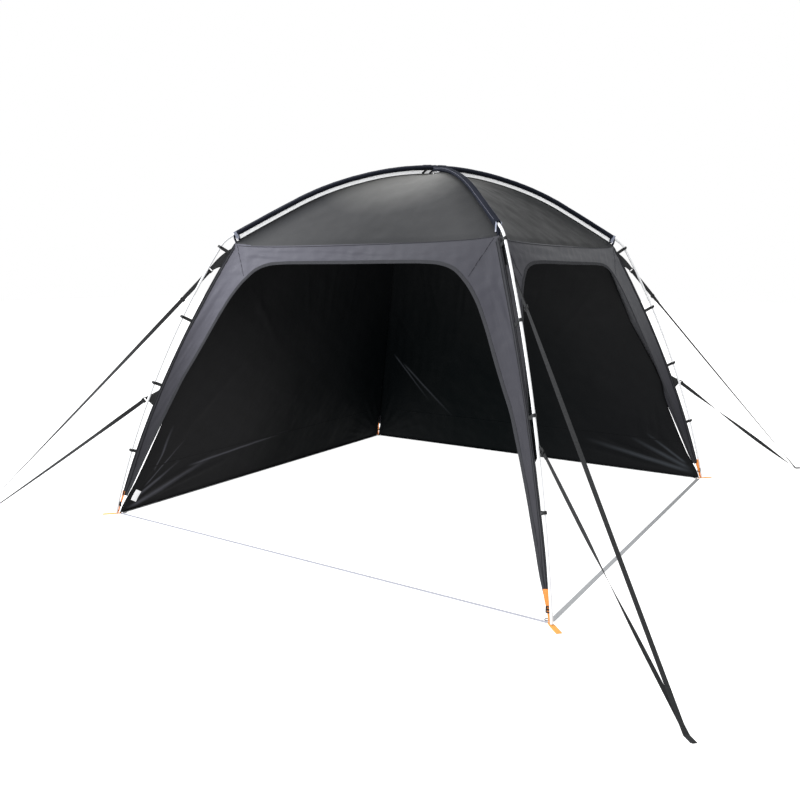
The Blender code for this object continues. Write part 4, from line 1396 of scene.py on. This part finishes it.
def footStraps(corner, turns, face):
    # the strap comes down from the wing's tip beside the pole, turned half sideways; the tab lies under its end
    share = np.linspace(0, 1, 60)
    line = smoothLine(foot["strap"], 60)
    place = cornerAt(turns, line[:, 0], foot["shift"][corner] * np.clip(1.2 - share, 0, 1), line[:, 1])
    rings = onGround(strapRings(place, face, np.interp(share, *foot["strapWidths"]), foot["thickness"]))
    piece = bodiesPiece(f"foot_strap_{corner}", [rings], straps["orange_strap"])
    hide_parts(f"foot_{corner}")
    tab = smoothLine(foot["tab"], 30)
    width = np.interp(tab[:, 0], *foot["tabWidths"])
    rings = onGround(strapRings(inPlane(tab, turns), cornerAt(turns, 0.0, 1.0, 0.0), width, foot["thickness"]))
    bodiesPiece(f"foot_tab_{corner}", [rings], straps["tab_strap"])


def footBuckle(corner, turns, face, up):
    origin = inPlane(np.array(foot["buckle"]), turns, foot["shift"][corner] * 0.6)
    normal = unit(np.cross(up, face))
    normal = normal * np.sign(normal @ cornerAt(turns, 1.0, 0.0, 0.0))
    bodies = ladderBodies(origin + normal * foot["buckleAway"], up, face, normal, *foot["buckleSize"])
    bodiesPiece(f"foot_buckle_{corner}", bodies, blackPlastic)


def footRing(corner, turns, up):
    # a round wire carried once about its centre and joined to its own start
    steps, around = 40, 10
    angle = np.linspace(0, 2 * np.pi, steps, endpoint=False)
    outward = stacked(np.cos(angle), np.sin(angle), 0.0)
    hoop = inPlane(np.array(foot["ring"]), turns) + outward * foot["ringRadius"]
    grid = carried(hoop, outward, np.broadcast_to(up, outward.shape), roundProfile(foot["wire"], around))
    faces = gridFaces(steps + 1, around, closed=True) % (steps * around)
    uv = stacked(angle[:, None] * foot["ringRadius"], np.linspace(0, 0.011, around)[None, :], 0.0)[..., :2]
    piece = newPiece(f"foot_ring_{corner}", grid.reshape(-1, 3), faces.tolist(), uv.reshape(-1, 2), [blackPlastic])
    tidyMesh(piece, weld=0.000001)


def baseStraps():
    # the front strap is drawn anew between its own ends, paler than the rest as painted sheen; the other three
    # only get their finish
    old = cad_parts["base_strap_front"]
    ends = np.array([old.matrix_world @ vertex.co for vertex in old.data.vertices])
    middle = (ends.min(axis=0) + ends.max(axis=0)) / 2
    far = ends[:, 0].max() + foot["frontBeyond"]
    line = np.linspace((-far, middle[1], foot["frontHeight"]), (far, middle[1], foot["frontHeight"]), 60)
    piece = bodiesPiece("thin_base_strap", [strapRings(line, (0, 1, 0), *foot["frontStrap"])],
                        straps["sheen_front_strap"])
    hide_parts("base_strap_front")
    for side in ("back", "left", "right"):
        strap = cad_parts[f"base_strap_{side}"]
        strap.data.materials.clear()
        strap.data.materials.append(straps["grey_strap"])


for corner, turns in corners.items():
    faceHere = cornerAt(turns, 0.6, 0.8 * foot["faces"][corner], 0.0)
    footStraps(corner, turns, faceHere)
    footBuckle(corner, turns, faceHere, np.array([0.0, 0.0, 1.0]))
    footRing(corner, turns, np.array([0.0, 0.0, 1.0]))
baseStraps()
print("feet made")


# Sleeve ends and crown

sleeveTrim = {
    "strap": ((1.3170, 1.8175), (1.3125, 1.8080), (1.3035, 1.7900), (1.2970, 1.7745)),  # r, z of its middle line
    "strapWidth": 0.0205,
    "beside": 0.0135,
    "inner": ((1.2950, 1.8000), (1.2920, 1.7850), (1.2890, 1.7665)),  # the sleeve's cloth sewn down to the roof
    "tab": ((1.3200, 1.8000), (1.3195, 1.7850), (1.3155, 1.7660), (1.3085, 1.7520)),
    "strapThickness": 0.0022,
    "tabSize": (0.0130, 0.0150),
    "knot": ((1.3045, 1.7755), (1.3000, 1.7665)),
    "knotSide": 0.0115,
    "knotSize": (0.008, 0.006),
}


def sleeveEnd(corner, turns, low):
    # pale webbing down both sides of the sleeve's end, a dark folded tab outside it down to the roof's corner,
    # and a small white knot where they meet
    drop = np.array([0.0, low * 0.2])
    out = cornerAt(turns, 1.0, 0.0, 0.0)
    line = smoothLine(np.array(sleeveTrim["strap"]) - drop, 24)
    side = sleeveTrim["beside"] * (1 - 0.35 * np.linspace(0, 1, 24) ** 2)
    bodies = [strapRings(inPlane(line, turns, hand * side), out, sleeveTrim["strapWidth"],
                         sleeveTrim["strapThickness"]) for hand in (-1, 1)]
    bodiesPiece(f"sleeve_end_tape_{corner}", bodies, straps["end_strap"])
    bodies = [strapRings(inPlane(smoothLine(np.array(sleeveTrim[part]) - drop, steps), turns), out,
                         *sleeveTrim["tabSize"]) for part, steps in (("tab", 24), ("inner", 16))]
    bodiesPiece(f"corner_tab_{corner}", bodies, sleeveCloth)
    line = smoothLine(sleeveTrim["knot"], 8)
    bodies = [strapRings(inPlane(line, turns, hand * sleeveTrim["knotSide"]), out, *sleeveTrim["knotSize"])
              for hand in (-1, 1)]
    bodiesPiece(f"corner_knots_{corner}", bodies, straps["pale_strap"])


for corner, turns in corners.items():
    sleeveEnd(corner, turns, lowOf(turns))

crown = {
    # straps from the ridge up to the sleeve beside the crossing: r and z of foot and head
    "darkStraps": (((-0.0858, 2.2095), (-0.0500, 2.2400)), ((0.0430, 2.2330), (0.0790, 2.2085))),
    "paleStraps": (((-0.0370, 2.2095), (-0.0040, 2.2400)),),
    "strapSize": (0.0130, 0.0020),  # width and thickness
    "lean": (0.005, 0.012),  # sideways at the foot, and how much more at the head
    "tape": (0.024, 0.080),  # r of both ends of the webbing laid along the upper sleeve's top
    "tapeSize": (0.024, 0.0018),
}


def crownStraps(kind):
    # each leans out from the band to the sleeve's edge, and comes again half a turn about the centre axis
    t = np.linspace(0, 1, 10)
    bodies = []
    for foot, head in crown[kind]:
        for hand in (1, -1):
            r, z = hand * (foot[0] + (head[0] - foot[0]) * t), foot[1] + (head[1] - foot[1]) * t
            line = cornerPlace(r, -hand * (crown["lean"][0] + crown["lean"][1] * t), z)
            bodies.append(strapRings(line, cornerPlace(1.0, 0.0, 0.0), *crown["strapSize"]))
    return bodies


def crownTies():
    piece = bodiesPiece("crown_ties", crownStraps("darkStraps"), straps["dark_strap"])
    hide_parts("crown_tie")
    bodiesPiece("crown_pale_ties", crownStraps("paleStraps"), straps["binding_tape"])
    bodies = []
    for hand in (1, -1):
        r = hand * np.linspace(*crown["tape"], 16)
        line = cornerPlace(r, 0.0, sleeveTop(r) + 0.0008)
        bodies.append(strapRings(line, cornerPlace(0.0, 1.0, 0.0), *crown["tapeSize"]))
    bodiesPiece("crown_tape", bodies, straps["end_strap"])


crownTies()
print("sleeve ends and crown made")


# Camera, floor and light

stage = {
    "cameraPlace": (2.7148, -4.6188, 1.5519),
    "cameraTilt": 9.240,  # degrees below level
    "cameraHeading": 32.909,  # degrees left of straight on
    "focalPixels": 776.06,  # of the 800 pixel wide picture
    "imageWidth": 800,
    "sensorWidth": 36.0,
    "lightAbove": 1.42,
    "lightBelow": 1.00,
    "lightHeights": (-0.5, 0.6),  # of a direction, where the one becomes the other
    "brighterSide": (-0.52, -0.36, 0.0),  # how much brighter the studio is towards the left and the front
    "floorHalf": 40.0,
    "floorTones": ((0.38, 0.38, 0.38), (0.40, 0.40, 0.40)),
    "lampPlace": (-4.6, -3.4, 4.0),
    "lampAim": (-1.2, -1.0, 1.4),
    "lampSize": 2.8,
    "lampPower": 190.0,
    "lampColour": (0.92, 0.94, 1.0),
}


def makeCamera():
    data = bpy.data.cameras.new("camera")
    data.sensor_width = stage["sensorWidth"]
    data.lens = stage["focalPixels"] / stage["imageWidth"] * data.sensor_width
    camera = bpy.data.objects.new("camera", data)
    camera.location = stage["cameraPlace"]
    camera.rotation_euler = (math.radians(90 - stage["cameraTilt"]), 0, math.radians(stage["cameraHeading"]))
    bpy.context.scene.collection.objects.link(camera)
    bpy.context.scene.camera = camera


def makeFloor():
    size = stage["floorHalf"]
    mesh = bpy.data.meshes.new("floor")
    mesh.from_pydata([(-size, -size, 0), (size, -size, 0), (size, size, 0), (-size, size, 0)], [], [(0, 1, 2, 3)])
    material, tree, shader = startFinish("pale_floor", 0.9, 0.1)
    place, _ = places(tree)
    mottled(tree, shader, noise(tree, place, 0.8), *stage["floorTones"])
    glow(shader, 1.0)
    mesh.materials.append(material)
    floor = bpy.data.objects.new("floor", mesh)
    floor.visible_diffuse = False  # the studio light already has its own share from below
    floor.visible_glossy = False
    bpy.context.scene.collection.objects.link(floor)


def makeLamp():
    # a round lamp on the front left, turned to its aim
    data = bpy.data.lights.new("front_left_light", "AREA")
    data.shape = "DISK"
    data.size = stage["lampSize"]
    data.energy = stage["lampPower"]
    data.color = stage["lampColour"]
    lamp = bpy.data.objects.new("front_left_light", data)
    lamp.location = stage["lampPlace"]
    way = np.array(stage["lampAim"]) - stage["lampPlace"]
    lamp.rotation_euler = (math.acos(-way[2] / np.linalg.norm(way)), 0, math.atan2(way[1], way[0]) - math.pi / 2)
    bpy.context.scene.collection.objects.link(lamp)


def makeWorld():
    # soft light, strongest from above and weak from below, in front of a white backdrop
    world = bpy.data.worlds.new("studio")
    world.use_nodes = True
    tree = world.node_tree
    way = addNode(tree, "TexCoord").outputs["Generated"]
    height = addNode(tree, "SeparateXYZ", {0: way}).outputs["Z"]
    light = reach(tree, height, stage["lightBelow"], stage["lightAbove"], *stage["lightHeights"])
    slant = addVector(tree, "DOT_PRODUCT", "Value", way, stage["brighterSide"])
    light = addMath(tree, "MULTIPLY", light, addMath(tree, "ADD", slant, 1.0))
    seen = addNode(tree, "LightPath").outputs["Is Camera Ray"]
    strength = addNode(tree, "Mix", {0: seen, 2: light, 3: 1.0}, data_type="FLOAT")
    background = tree.nodes["Background"]
    background.inputs["Color"].default_value = (1, 1, 1, 1)
    tree.links.new(strength.outputs[0], background.inputs["Strength"])
    bpy.context.scene.world = world
    bpy.context.scene.view_settings.view_transform = "Standard"


makeCamera()
makeFloor()
makeWorld()
makeLamp()
print("camera, floor and light set")
